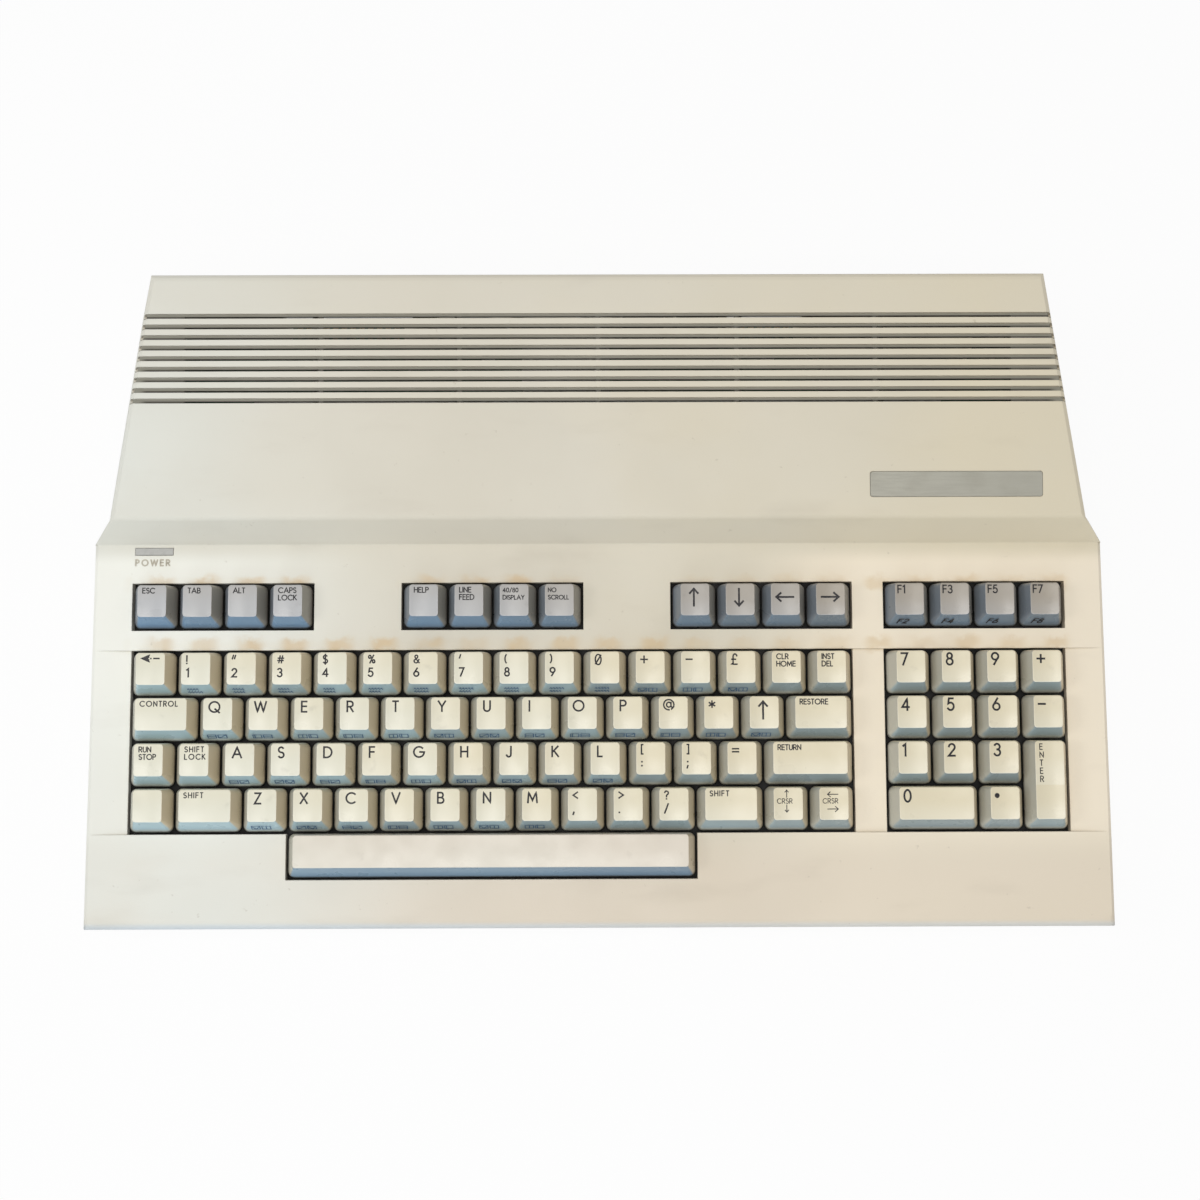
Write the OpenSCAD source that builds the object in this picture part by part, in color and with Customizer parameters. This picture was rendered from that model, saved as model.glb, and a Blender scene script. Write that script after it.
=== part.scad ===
// Home computer built into a keyboard case: two moulded shells, 92 sprung keys in a plunger frame,
// a main board with its sockets, a power rocker and a reset button.
// Units are millimetres. +X is to the right, +Y to the rear, +Z up. The origin is on the ground
// under the middle of the case.

/* [Case] */
// Width of the case at the parting line
case_w = 431.8; // [428:0.1:450]
// Depth of the case from front face to rear face
case_d = 272; // [268:1:290]
// Height of the front edge above the ground
front_h = 21; // [19:0.5:25]
// Slope of the keyboard panel
panel_tilt = 5; // [4:0.5:7]
// Length of the keyboard panel along its slope, up to the step
panel_len = 161.6; // [158:0.1:166]
// Rise of the step, square to the panel
step_h = 12; // [9:0.5:15]
// Run of the step along the panel
step_run = 9.5; // [7:0.5:12]
// Slope of the rear deck
deck_slope = 9; // [7:0.5:11]
// Width of the deck at its front edge
deck_front_w = 409.6; // [404:0.1:414]
// Width of the deck at its rear edge
deck_rear_w = 376; // [368:0.5:384]
// Height of the parting line between the shells
parting_h = 14; // [13:0.5:15]
// Wall of both shells
wall = 2.6; // [2:0.1:3.2]
// Draft of the side walls beside the keyboard
side_draft = 4; // [2:0.5:6]
// Radius of the moulded edges
edge_r = 3; // [1.5:0.5:4]
// Bevel of the side edges
edge_bevel = 0.8; // [0.4:0.1:1.5]
// Chamfer round the bottom of the case
base_chamfer = 4; // [2:0.5:6]
// Height of the reveal line between the shells
seam_h = 0.5; // [0.3:0.1:0.8]
// Depth of the reveal line between the shells
seam_depth = 0.5; // [0.3:0.1:0.8]

/* [Vents] */
// Number of grooves across the deck
groove_count = 9; // [5:1:11]
// Distance between grooves
groove_pitch = 4.475; // [4:0.025:5]
// Width of a groove
groove_w = 2; // [1.4:0.1:2.6]
// Depth of a groove
groove_depth = 1.4; // [0.8:0.1:1.6]
// Distance of the front groove from the step, along the deck
groove_start = 49.6; // [44:0.1:56]
// Length that a groove runs down the side walls
groove_drop = 6; // [3:0.5:9]
// Number of slots cut through each groove
slot_count = 6; // [3:1:8]
// Width of a slot
slot_w = 0.8; // [0.6:0.1:1.2]
// Web left between two slots
slot_web = 2; // [1.5:0.5:6]

/* [Keys] */
// Distance from key to key
pitch = 19.05; // [18.9:0.05:19.1]
// Gap between neighbouring keys
key_gap = 0.7; // [0.6:0.05:1.2]
// Height of a key cap
cap_h = 9; // [8:0.5:10]
// Slope of a cap's sides, as the inset of its top
cap_side = 3; // [2.2:0.05:3.3]
// Slope of a cap's front, as the inset of its top
cap_front = 4.3; // [3:0.1:4.8]
// Slope of a cap's back, as the inset of its top
cap_back = 0.4; // [0.2:0.1:1]
// Depth of the finger dish
dish_depth = 0.9; // [0.5:0.1:1.2]
// Wall of a cap
cap_wall = 1.4; // [1.1:0.1:1.6]
// Corner chamfer of a cap at its skirt
cap_corner = 0.8; // [0.4:0.1:1.2]
// Travel of a key
key_travel = 3.8; // [3:0.1:4]
// Width of a square plunger
plunger_w = 5.2; // [4.6:0.1:5.6]
// Gap round a plunger in its guide
plunger_gap = 0.2; // [0.15:0.05:0.3]
// Wall of a plunger guide
guide_wall = 1.4; // [1.1:0.1:1.7]
// Distance of the lowest key row from the front edge, along the panel
key_setback = 39.7; // [38:0.1:42]
// Height of the panel above the cap skirts
panel_over_skirt = 2; // [1.6:0.1:2.4]
// Gap between the keys and the edge of their opening
opening_gap = 0.9; // [0.7:0.05:1]
// Depth of the recessed band beside the key blocks
band_depth = 1; // [0.5:0.1:1.2]

/* [Keyboard frame] */
// Thickness of the frame plate
plate_t = 2; // [1.6:0.1:2.4]
// Distance of the plate's top below the cap skirts
plate_drop = 4.3; // [4.1:0.1:4.5]
// Thickness of the keyboard circuit board
key_board_t = 1.6; // [1.2:0.1:1.8]
// Thickness of the stabiliser wire
wire_d = 1.4; // [1.2:0.1:1.6]
// Arm length of the stabiliser wire
wire_arm = 10; // [9:0.5:10]
// Distance between the arms of the stabiliser wire
wire_span = 132; // [120:1:140]

/* [Rest and fixings] */
// Height of the case's floor above the ground
foot_h = 3; // [2:0.5:4]
// Radius of a rubber foot
foot_r = 8; // [6:0.5:10]
// Distance of a foot from the side of the case
foot_inset = 40.9; // [30:0.1:60]
// Depth of the seat of a foot
foot_seat = 1; // [0.6:0.1:1.2]
// Distance of the outer screws from the corners of the front and the deck
screw_inset = [65.9, 16];
// Radius of a screw's shank
screw_r = 1.5; // [1.25:0.05:1.75]
// Radius of a screw's head
screw_head_r = 3; // [2.6:0.1:3.4]
// Height of a screw's head
screw_head_h = 2; // [1.6:0.1:2.4]
// Gap round a screw's shank
screw_gap = 0.1; // [0.05:0.05:0.2]
// Radius of a screw boss
boss_r = 4.5; // [4:0.1:5]

/* [Electronics] */
// Height of the main board's underside above the ground
board_h = 12; // [11.5:0.1:12.5]
// Thickness of the main board
board_t = 1.6; // [1.4:0.1:2]
// Width of the main board
board_w = 380; // [370:1:384]
// Front edge of the main board
board_front = 24; // [22:0.5:28]
// Width of the shield
shield_w = 300; // [290:2:320]
// Depth of the shield
shield_d = 50; // [48:1:52]
// Height of the shield over the board
shield_h = 16; // [14:0.5:18]
// Thickness of the shield's sheet
sheet_t = 0.8; // [0.6:0.1:1.2]
// Radius of the aerial jack's barrel
jack_r = 4.15; // [4:0.05:4.3]
// Length of the aerial jack's barrel
jack_len = 9; // [8:0.5:9.5]
// Distance from the rear face to the recessed socket faces
socket_inset = 1.5; // [1:0.5:2.5]
// Depth of the cartridge bay
bay_depth = 25; // [20:1:28]

/* [Switches] */
// Throw of the power rocker
rocker_throw = 20; // [16:1:24]
// Radius of the rocker's pivot pins
pivot_r = 1.5; // [1.2:0.1:1.8]
// Running clearance of the pivot pins
pivot_gap = 0.06; // [0.04:0.01:0.09]
// Radius of the reset button
reset_r = 3; // [2.5:0.1:3.4]
// Travel of the reset button
reset_travel = 1.5; // [1:0.1:2]
// Travel of the channel switch
channel_travel = 3; // [2:0.5:4]

/* [Badge and lens] */
// Width of the badge plate
badge_w = 72.5; // [60:0.5:80]
// Height of the badge plate
badge_h = 10.5; // [8:0.5:14]
// Thickness of the badge plate
badge_t = 0.8; // [0.6:0.1:1.2]
// Width of the power lens
lens_w = 16; // [12:0.5:20]
// Height of the power lens
lens_h = 2.9; // [2.4:0.1:4]
// Gap round the lens and the badge
trim_gap = 0.15; // [0.1:0.05:0.3]

/* [Hidden] */

$fn = 32;
eps = 0.01;
reach = 600;

// ---- Case lines ----
y_front = -case_d / 2;
y_rear = case_d / 2;
step_base = [y_front, front_h] + turned([panel_len, 0], panel_tilt);
step_top = step_base + turned([step_run, step_h], panel_tilt);
deck_run = y_rear - step_top.x;
rear_h = step_top.y + deck_run * tan(deck_slope);
floor_top = foot_h + wall;
low_top_w = case_w / 2 - (step_base.y - parting_h) * tan(side_draft);
front_top_w = case_w / 2 - (front_h - parting_h) * tan(side_draft);
deck_lean = atan((case_w - deck_front_w) / 2 / (step_top.y - parting_h));
base_rear_w = deck_rear_w / 2 + (rear_h - parting_h) * tan(deck_lean);
base_taper = atan((case_w / 2 - base_rear_w) / deck_run);
deck_edge_taper = atan((deck_front_w - deck_rear_w) / 2 / deck_run);
deck_edge_rise = atan((rear_h - step_top.y) / deck_run * cos(deck_edge_taper));
shoulder_w = deck_front_w / 2 + (step_top.y - step_base.y) * tan(deck_lean);
shoulder_taper = atan((low_top_w - shoulder_w) / (step_top.x - step_base.x));
low_edge_taper = atan((front_top_w - low_top_w) / (step_base.x - y_front));

// ---- Keyboard layout, in key units from the left end of the lowest row ----
block_u = 20.75;
main_u = 16;
pad_x = 16.75;
function_y = 4.5;
space_x = 3.5;
space_u = 9;
function row(x, y, n) = [for (i = [0 : n - 1]) [x + i, y, 1, 1]];
K_ESC = row(0, function_y, 3);
K_CAPS = row(3, function_y, 1);
K_HELP = concat(row(6, function_y, 2), row(9, function_y, 1));
K_DISPLAY = row(8, function_y, 1);
K_ARROW = row(12, function_y, 4);
K_FUNCTION = row(pad_x, function_y, 4);
K_NUMBER = [for (i = [0 : 3]) row(4 * i, 3, 4)];
K_CONTROL = [[0, 2, 1.5, 1]];
K_QWER = row(1.5, 2, 4);
K_TYUI = row(5.5, 2, 4);
K_OP = row(9.5, 2, 5);
K_RESTORE = [[14.5, 2, 1.5, 1]];
K_RUN = row(0, 1, 1);
K_LOCK = row(1, 1, 1);
K_ASDF = row(2, 1, 4);
K_GHJK = row(6, 1, 4);
K_LEND = row(10, 1, 4);
K_RETURN = [[14, 1, 2, 1]];
K_BLANK = row(0, 0, 1);
K_LSHIFT = [[1, 0, 1.5, 1]];
K_ZXCVB = row(2.5, 0, 5);
K_NM = row(7.5, 0, 5);
K_RSHIFT = [[12.5, 0, 1.5, 1]];
K_CURSOR = row(14, 0, 2);
K_PAD = [for (i = [0 : 2]) row(pad_x, 3 - i, 3)];
K_PLUS = [[pad_x + 3, 3, 1, 1], [pad_x + 3, 2, 1, 1]];
K_ZERO = [[pad_x, 0, 2, 1]];
K_POINT = row(pad_x + 2, 0, 1);
K_ENTER = [[pad_x + 3, 0, 1, 2]];
K_SPACE = [[space_x, -1, space_u, 1]];
ALL_KEYS = concat(
    K_ESC, K_CAPS, K_HELP, K_DISPLAY, K_ARROW, K_FUNCTION,
    K_NUMBER[0], K_NUMBER[1], K_NUMBER[2], K_NUMBER[3],
    K_CONTROL, K_QWER, K_TYUI, K_OP, K_RESTORE,
    K_RUN, K_LOCK, K_ASDF, K_GHJK, K_LEND, K_RETURN,
    K_BLANK, K_LSHIFT, K_ZXCVB, K_NM, K_RSHIFT, K_CURSOR,
    K_PAD[0], K_PAD[1], K_PAD[2], K_PLUS, K_ZERO, K_POINT, K_ENTER, K_SPACE
);
// Openings in the panel, each as [x, y, width, depth] in key units
FUNCTION_OPENINGS = [for (x = [0, 6, 12, pad_x]) [x, function_y, 4, 1]];
OPENINGS = concat(FUNCTION_OPENINGS, [[0, 0, main_u, 4], [pad_x, 0, 4, 4], K_SPACE[0]]);

// ---- Keyboard heights, square to the panel, from the cap skirts ----
plate_z = -plate_drop;
guide_top = -1;
cap_ceiling = cap_h - cap_wall - dish_depth;
stem_end = -plate_drop - 4.2;
key_board_z = stem_end - key_travel - 0.3;
panel_under = panel_over_skirt - wall;
rib_t = 1.6;
skirt_rib_h = 2.6;
deck_rib_z = step_top.y - wall - 4;
frame_margin = 4;
frame_front = -1.05 * pitch;
frame_rear = 5.5 * pitch + 1;
guide_w = plunger_w + 2 * plunger_gap + 2 * guide_wall;
bar_post = 3 * pitch;
clip_wall = 1.3;
wire_rest = asin(key_travel / 2 / wire_arm);
wire_pivot = [-key_gap / 2 - cap_wall - cap_back - clip_wall - 0.3, -0.2];
wire_tip = wire_pivot + wire_arm * [-cos(wire_rest), sin(wire_rest)];
wire_hook = 4;
clip_x = 40;
clip_w = 4;
lug_w = 3;
lug_wall = 0.8;
lug_gap = 0.4;
spring_x = 28;
spring_wire = 0.4;
spring_r = 3;
lens_at = [0.4, 6.17 * pitch];
// Frame screws, in key units: between the function key groups, beside the pad and before it
FRAME_BOSSES = [
    [5, function_y + 0.5], [11, function_y + 0.5], [16.375, function_y + 0.5], [16.375, 2],
    [1.2, -0.45], [14.8, -0.45], [18.6, -0.45]
];

// ---- Fixings ----
screw_hole_r = screw_r + screw_gap;
front_screw_x = case_w / 2 - screw_inset[0];
rear_screw_x = deck_rear_w / 2 - screw_inset[1];
foot_x = case_w / 2 - foot_inset;
CASE_SCREWS = [
    [-front_screw_x, y_front + 10], [0, y_front + 10], [front_screw_x, y_front + 10],
    [-rear_screw_x, y_rear - 10], [rear_screw_x, y_rear - 10], [0, step_base.x - 9]
];
FEET = [for (x = [-foot_x, foot_x], y = [y_front + 25, y_rear - 25]) [x, y]];
board_top = board_h + board_t;
board_edge = board_w / 2 - 15;
board_rear = y_rear - 14;
BOARD_SCREWS = [for (x = [-board_edge, -49, 76, board_edge], y = [board_front + 6, y_rear - 22]) [x, y]];
screw_bite = 5;

// ---- Rear sockets: centre x and window width ----
expansion_x = 130;
expansion_w = 62;
bay_half = expansion_w / 2 + 1;
cassette_x = 75;
cassette_w = 34;
serial_x = 44;
video_x = 20;
din_w = 20;
modulator_x = -14;
modulator_w = 40;
cable_t = 0.7;
cable_w = 36;
cable_x = -100;
rgb_x = -55;
rgb_w = 34;
user_x = -112;
user_w = 58;
jack_x = modulator_x + 9;
channel_x = modulator_x - 12;
window_top = 32;
window_gap = 0.5;
socket_face = y_rear - wall - socket_inset;
socket_depth = 14;
modulator_face = y_rear - jack_len - 1;
tongue_end = y_rear - 2;
tongue_gap = 6;

// ---- Side bay: the recess in the right side wall that holds the side sockets ----
bay_x = 198;
bay_front = step_top.x + 2;
bay_rear = y_rear - wall - 1;
bay_top = 33;
stick_y = [step_top.x + 15, step_top.x + 39];
stick_w = 20;
stick_h = 12;
reset_y = step_top.x + 55;
reset_back = 2.8;
reset_stop = bay_x - wall - reset_back - reset_travel - 0.3;
rocker_y = step_top.x + 68;
rocker_w = 11;
rocker_h = 16;
rocker_z = board_top + rocker_h / 2 + 1.4;
power_y = step_top.x + 86;
power_w = 15;
side_z = board_top + stick_h / 2 + 0.5;
side_socket_x = bay_x - 15;
rocker_x = bay_x - 4;
rocker_top = rocker_z + rocker_h / 2 + 1.4;

// ---- Colours ----
beige = [0.87, 0.84, 0.76];
cream = [0.90, 0.87, 0.78];
lavender = [0.60, 0.61, 0.68];
board_green = [0.16, 0.36, 0.24];
black = [0.10, 0.10, 0.11];
silver = [0.72, 0.72, 0.70];

// ---- Geometry helpers ----
function turned(v, a) = [v.x * cos(a) - v.y * sin(a), v.x * sin(a) + v.y * cos(a)];
function unit(v) = v / norm(v);
function inward(a, b) = let (d = unit(b - a)) [-d.y, d.x];

// Points of a closed counter-clockwise outline moved inwards by w
function inset_outline(p, w) = [
    for (i = [0 : len(p) - 1])
        let (a = p[(i + len(p) - 1) % len(p)], b = p[i], c = p[(i + 1) % len(p)],
            n1 = inward(a, b), n2 = inward(b, c))
            b + (n1 + n2) * w / (1 + n1 * n2)
];

// Arc of radius r that replaces corner b between its neighbours a and c
function round_corner(a, b, c, r, n) =
    let (u = unit(a - b), v = unit(c - b), half = acos(u * v) / 2,
        centre = b + unit(u + v) * r / sin(half),
        start = b + u * r / tan(half) - centre,
        end = b + v * r / tan(half) - centre,
        a0 = atan2(start.y, start.x),
        sweep = (atan2(end.y, end.x) - a0 + 540) % 360 - 180)
        [for (i = [0 : n]) centre + r * [cos(a0 + sweep * i / n), sin(a0 + sweep * i / n)]];

// Outline with each corner rounded by its own radius, 0 for a sharp one
function rounded(p, radii, n = 4) = [
    for (i = [0 : len(p) - 1])
        each radii[i] > 0
            ? round_corner(p[(i + len(p) - 1) % len(p)], p[i], p[(i + 1) % len(p)], radii[i], n)
            : [p[i]]
];

// Upright rectangle centred on x, as an outline
function slab(w, h, r = 0) = rounded([[-w / 2, 0], [w / 2, 0], [w / 2, h], [-w / 2, h]], [r, r, r, r], 3);

// Prism along X of an outline given in Y and Z
module along_x(outline, length) {
    rotate([90, 0, 90])
        linear_extrude(height = length, center = true)
            polygon(outline);
}

// Prism along Y, towards the rear, of an outline given in X and Z
module along_y(outline, length) {
    translate([0, length, 0])
        rotate([90, 0, 0])
            linear_extrude(height = length)
                polygon(outline);
}

// Box between two corners
module span(low, high) {
    translate(low)
        cube(high - low);
}

// Everything outboard of a wall plane through p, on both sides of the case
module beyond(p, taper, lean, rise = 0, inset = 0) {
    for (side = [0, 1])
        mirror([side, 0, 0])
            translate(p)
                rotate([0, 0, taper])
                    rotate([rise, 0, 0])
                        rotate([0, lean, 0])
                            translate([-inset, -reach, -reach])
                                cube([reach, 2 * reach, 2 * reach]);
}

// Slice of the case between two Y positions
module zone(from, to) {
    span([-case_w, from, -reach], [case_w, to, reach]);
}

// Places children in the keyboard's own frame: x from the left key, y from the lowest row,
// z square to the panel from the cap skirts
module on_keyboard() {
    translate([-block_u * pitch / 2, y_front, front_h])
        rotate([panel_tilt, 0, 0])
            translate([0, key_setback, -panel_over_skirt])
                children();
}

// Places children on the deck: x from the middle, y along the deck from the step, z outwards
module on_deck() {
    translate([0, step_top.x, step_top.y])
        rotate([deck_slope, 0, 0])
            children();
}

// ---- Shells ----
function top_outline() = [
    [y_front, parting_h], [y_rear, parting_h], [y_rear, rear_h], step_top, step_base, [y_front, front_h]
];
// Lean of the deck's side wall, seen square to a wall that tapers
function section_lean(taper) = atan(tan(deck_lean) * cos(taper));

// What the leaning side walls of the top shell leave outside
module side_cuts(inset) {
    deck_edge = [deck_front_w / 2, step_top.x, step_top.y];
    beyond([case_w / 2, y_front, parting_h], 0, -side_draft, 0, inset);
    intersection() {
        beyond(deck_edge, shoulder_taper, -section_lean(shoulder_taper), 0, inset);
        zone(step_base.x, step_top.x);
    }
    intersection() {
        beyond(deck_edge, base_taper, -section_lean(base_taper), 0, inset);
        zone(step_top.x, reach);
    }
}

module top_form() {
    difference() {
        along_x(rounded(top_outline(), [0, 0, edge_r, edge_r, 1, edge_r]), 2 * case_w);
        side_cuts(0);
        beyond([deck_front_w / 2, step_top.x, step_top.y], deck_edge_taper, -54, deck_edge_rise, edge_bevel);
        intersection() {
            beyond([front_top_w, y_front, front_h], low_edge_taper, -47, panel_tilt, edge_bevel);
            zone(-reach, step_base.x);
        }
    }
}

module top_hollow() {
    inner = inset_outline(top_outline(), wall);
    below = parting_h - 5;
    difference() {
        along_x(concat([[inner[0].x, below], [inner[1].x, below]], [for (i = [2 : 5]) inner[i]]), 2 * case_w);
        side_cuts(wall);
    }
}

// Plan of the bottom shell, cut by upright walls
module base_form(inset) {
    low_wall = [case_w / 2, y_front, parting_h];
    rear_wall = [case_w / 2, step_top.x, parting_h];
    chamfer_z = foot_h + base_chamfer;
    depth = case_d / 2 - inset;
    bottom = foot_h + inset;
    top = parting_h + (inset > 0 ? 1 : 0);
    outline = [[-depth + base_chamfer, bottom], [depth - base_chamfer, bottom],
        [depth, bottom + base_chamfer], [depth, top], [-depth, top], [-depth, bottom + base_chamfer]];
    difference() {
        along_x(outline, 2 * case_w);
        beyond(low_wall, 0, 0, 0, inset);
        beyond([case_w / 2, y_front, chamfer_z], 0, 45, 0, inset);
        intersection() {
            union() {
                beyond(rear_wall, base_taper, 0, 0, inset);
                beyond([case_w / 2, step_top.x, chamfer_z], base_taper, 45, 0, inset);
            }
            zone(step_top.x, reach);
        }
    }
}

// Windows in the rear wall for the sockets, cut through both shells
module rear_windows() {
    for (s = [[serial_x, din_w], [video_x, din_w], [modulator_x, modulator_w], [rgb_x, rgb_w]])
        span([s[0] - s[1] / 2, y_rear - 2 * wall, board_top - window_gap],
            [s[0] + s[1] / 2, y_rear + 1, window_top]);
    span([expansion_x - bay_half, y_rear - bay_depth - 1, board_top - window_gap],
        [expansion_x + bay_half, y_rear + 1, window_top]);
    for (s = [[cassette_x, cassette_w], [user_x, user_w]])
        span([s[0] - s[1] / 2, y_rear - 2 * wall, board_h - tongue_gap + 1],
            [s[0] + s[1] / 2, y_rear + 1, board_top + tongue_gap]);
}

// Windows in the side bay's wall
module bay_windows() {
    low = parting_h - 1;
    deep = bay_x - 2 * wall;
    for (y = stick_y)
        span([deep, y - stick_w / 2, low], [bay_x + 1, y + stick_w / 2, side_z + stick_h / 2]);
    span([deep, rocker_y - rocker_w / 2 - 1.6, low],
        [bay_x + 1, rocker_y + rocker_w / 2 + 1.6, rocker_top + 0.3]);
    span([deep, power_y - power_w / 2, low], [bay_x + 1, power_y + power_w / 2, board_top + power_w]);
    translate([deep, reset_y, side_z])
        rotate([0, 90, 0])
            cylinder(r = reset_r + 0.3, h = 3 * wall);
}

// One opening in the panel, grown by a margin
module opening(k, margin, low, high) {
    span([k[0] * pitch + key_gap / 2 - margin, k[1] * pitch + key_gap / 2 - margin, low],
        [(k[0] + k[2]) * pitch - key_gap / 2 + margin, (k[1] + k[3]) * pitch - key_gap / 2 + margin, high]);
}

// Wedge-shaped recess across the panel, flush at the outer edges
module panel_band() {
    side = (case_w - block_u * pitch) / 2 - 2;
    top = panel_over_skirt;
    low = top - band_depth;
    translate([0, key_gap / 2 - opening_gap, 0])
        along_y([[-side, top], [0, low], [block_u * pitch, low], [block_u * pitch + side, top],
            [block_u * pitch + side, top + 5], [-side, top + 5]], 4 * pitch - key_gap + 2 * opening_gap);
}

// Grooves across the deck, with slots along the front of their floors
module vents() {
    slot_len = (deck_rear_w - 2 * wall - 20) / slot_count - slot_web;
    for (i = [0 : groove_count - 1])
        on_deck()
            translate([0, groove_start + i * groove_pitch, 0]) {
                span([-reach / 2, -groove_w / 2, -groove_depth], [reach / 2, groove_w / 2, edge_r]);
                for (j = [0 : slot_count - 1])
                    translate([(j - (slot_count - 1) / 2) * (slot_len + slot_web), 0, 0])
                        span([-slot_len / 2, -groove_w / 2, -2 * wall],
                            [slot_len / 2, slot_w - groove_w / 2, 0]);
            }
}

// Ends of the grooves, turned down the leaning side walls
module vent_ends() {
    for (i = [0 : groove_count - 1])
        let (s = groove_start + i * groove_pitch, y = step_top.x + s * cos(deck_slope))
            intersection() {
                beyond([deck_front_w / 2, step_top.x, step_top.y], base_taper, -section_lean(base_taper),
                    0, groove_depth - 0.4);
                on_deck()
                    translate([0, s, 0])
                        span([-reach / 2, -groove_w / 2, -groove_drop], [reach / 2, groove_w / 2, edge_r]);
            }
}

module badge_seat(margin, low, high) {
    on_deck()
        translate([deck_front_w / 2 - badge_w / 2 - 17.9, 8.5 - margin, low])
            linear_extrude(height = high - low)
                polygon(slab(badge_w + 2 * margin, badge_h + 2 * margin, 1));
}

module lens_seat(margin, low, high) {
    on_keyboard()
        translate([lens_at.x - margin, lens_at.y - margin, low])
            cube([lens_w + 2 * margin, lens_h + 2 * margin, high - low]);
}

module frame_boss_at(k) {
    translate([k[0] * pitch, k[1] * pitch, 0])
        children();
}

module top_case() {
    color(beige)
        difference() {
            union() {
                difference() {
                    top_form();
                    top_hollow();
                }
                intersection() {
                    top_form();
                    union() {
                        // Walls of the side bay
                        span([bay_x - wall, bay_front - wall, parting_h],
                            [reach, bay_rear + wall, bay_top + wall]);
                        // Walls and ceiling of the cartridge bay
                        span([expansion_x - bay_half - rib_t, y_rear - bay_depth + 0.3, parting_h + 0.2],
                            [expansion_x + bay_half + rib_t, y_rear - 1, window_top + rib_t]);
                        // Screw posts
                        for (p = CASE_SCREWS)
                            translate([p.x, p.y, parting_h - 1])
                                cylinder(r = boss_r, h = rear_h);
                        // Stiffening ribs under the deck
                        for (x = [-120, -60, 0, 60, 120])
                            span([x - rib_t / 2, step_top.x + 8, deck_rib_z],
                                [x + rib_t / 2, y_rear - 1, rear_h]);
                        on_keyboard() {
                            for (k = OPENINGS)
                                opening(k, opening_gap + rib_t, panel_under - skirt_rib_h, panel_under + 1);
                            for (k = FRAME_BOSSES)
                                frame_boss_at(k)
                                    translate([0, 0, plate_z])
                                        cylinder(r = 3.2, h = plate_drop);
                        }
                    }
                }
            }
            span([bay_x, bay_front, parting_h - 1], [reach, bay_rear, bay_top]);
            bay_windows();
            rear_windows();
            on_keyboard() {
                for (k = OPENINGS)
                    opening(k, opening_gap, -plate_drop - 10, panel_over_skirt + 1);
                panel_band();
                for (k = FRAME_BOSSES)
                    frame_boss_at(k)
                        translate([0, 0, plate_z - 1])
                            cylinder(r = screw_hole_r - 0.3, h = plate_drop);
            }
            vents();
            vent_ends();
            badge_seat(trim_gap, -badge_t, edge_r);
            lens_seat(trim_gap, panel_under - 1, panel_over_skirt + 1);
            for (p = CASE_SCREWS)
                translate([p.x, p.y, parting_h - 2])
                    cylinder(r = screw_hole_r, h = screw_bite + 2.2);
        }
}

module bottom_case() {
    color(beige)
        difference() {
            union() {
                difference() {
                    base_form(0);
                    base_form(wall);
                }
                // Lip that locates the top shell
                difference() {
                    union() {
                        lip_ring(wall - 0.2, parting_h - 3, parting_h - 1);
                        lip_ring(wall + 0.75, parting_h - 1.5, parting_h + 1.2);
                    }
                    lip_ring(wall + 2, 0, reach);
                }
                intersection() {
                    base_form(0);
                    union() {
                        for (p = CASE_SCREWS)
                            translate([p.x, p.y, foot_h])
                                cylinder(r = boss_r, h = parting_h - foot_h);
                        for (p = BOARD_SCREWS)
                            translate([p.x, p.y, foot_h])
                                cylinder(r = 3.5, h = board_h - foot_h);
                        // Floor of the side bay
                        span([bay_x - 0.3, bay_front - wall, parting_h - wall],
                            [reach, bay_rear + wall, parting_h]);
                        // Floor of the cartridge bay
                        span([expansion_x - bay_half, board_rear + 0.3, board_top - window_gap - 2.5],
                            [expansion_x + bay_half, y_rear - 1, board_top - window_gap]);
                        // Ribs under the keyboard
                        for (i = [-4 : 4])
                            translate([40 * i, y_front + 1, foot_h])
                                span([-rib_t / 2, 0, 0], [rib_t / 2, 15, wall + 2]);
                    }
                }
            }
            for (p = CASE_SCREWS)
                translate([p.x, p.y, 0]) {
                    cylinder(r = screw_hole_r, h = parting_h);
                    cylinder(r = screw_head_r + 2 * screw_gap, h = foot_h + screw_head_h + 1);
                }
            for (p = FEET)
                translate([p.x, p.y, 0])
                    cylinder(r = foot_r + trim_gap, h = foot_h + foot_seat);
            for (p = BOARD_SCREWS)
                translate([p.x, p.y, board_h - screw_bite + 1])
                    cylinder(r = screw_hole_r, h = screw_bite + 2);
            // Reveal line below the parting
            difference() {
                span([-reach, -reach, parting_h - seam_h], [reach, reach, parting_h + 1]);
                base_form(seam_depth);
            }
            // Cooling slots under the board
            for (i = [-1 : 1], j = [0 : 7])
                translate([110 * i, shield_front + 8 + 7 * j, foot_h - 1])
                    span([-30, 0, 0], [30, 2.4, wall + 2]);
            rear_windows();
        }
}

module lip_ring(inset, low, high) {
    intersection() {
        translate([0, 0, wall])
            base_form(inset);
        span([-reach, -reach, low], [reach, bay_front - 2 * wall, high]);
    }
}

// ---- Trim ----
module badge_plate() {
    color(silver)
        badge_seat(0, -badge_t, 0.1);
}

module power_lens() {
    color(silver)
        union() {
            lens_seat(0, panel_under, panel_over_skirt + 0.2);
            lens_seat(1, panel_under - 1, panel_under);
        }
}

module power_led() {
    color([0.75, 0.15, 0.12])
        on_keyboard()
            translate([lens_at.x + lens_w / 2, lens_at.y + lens_h / 2, panel_under - 1])
                mirror([0, 0, 1]) {
                    cylinder(r = 2.5, h = 5);
                    translate([0, 0, 5])
                        cylinder(r = 3, h = 1.2);
                }
}

module rubber_feet() {
    color(black)
        for (p = FEET)
            translate([p.x, p.y, 0])
                cylinder(r = foot_r, h = foot_h + foot_seat);
}

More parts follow.
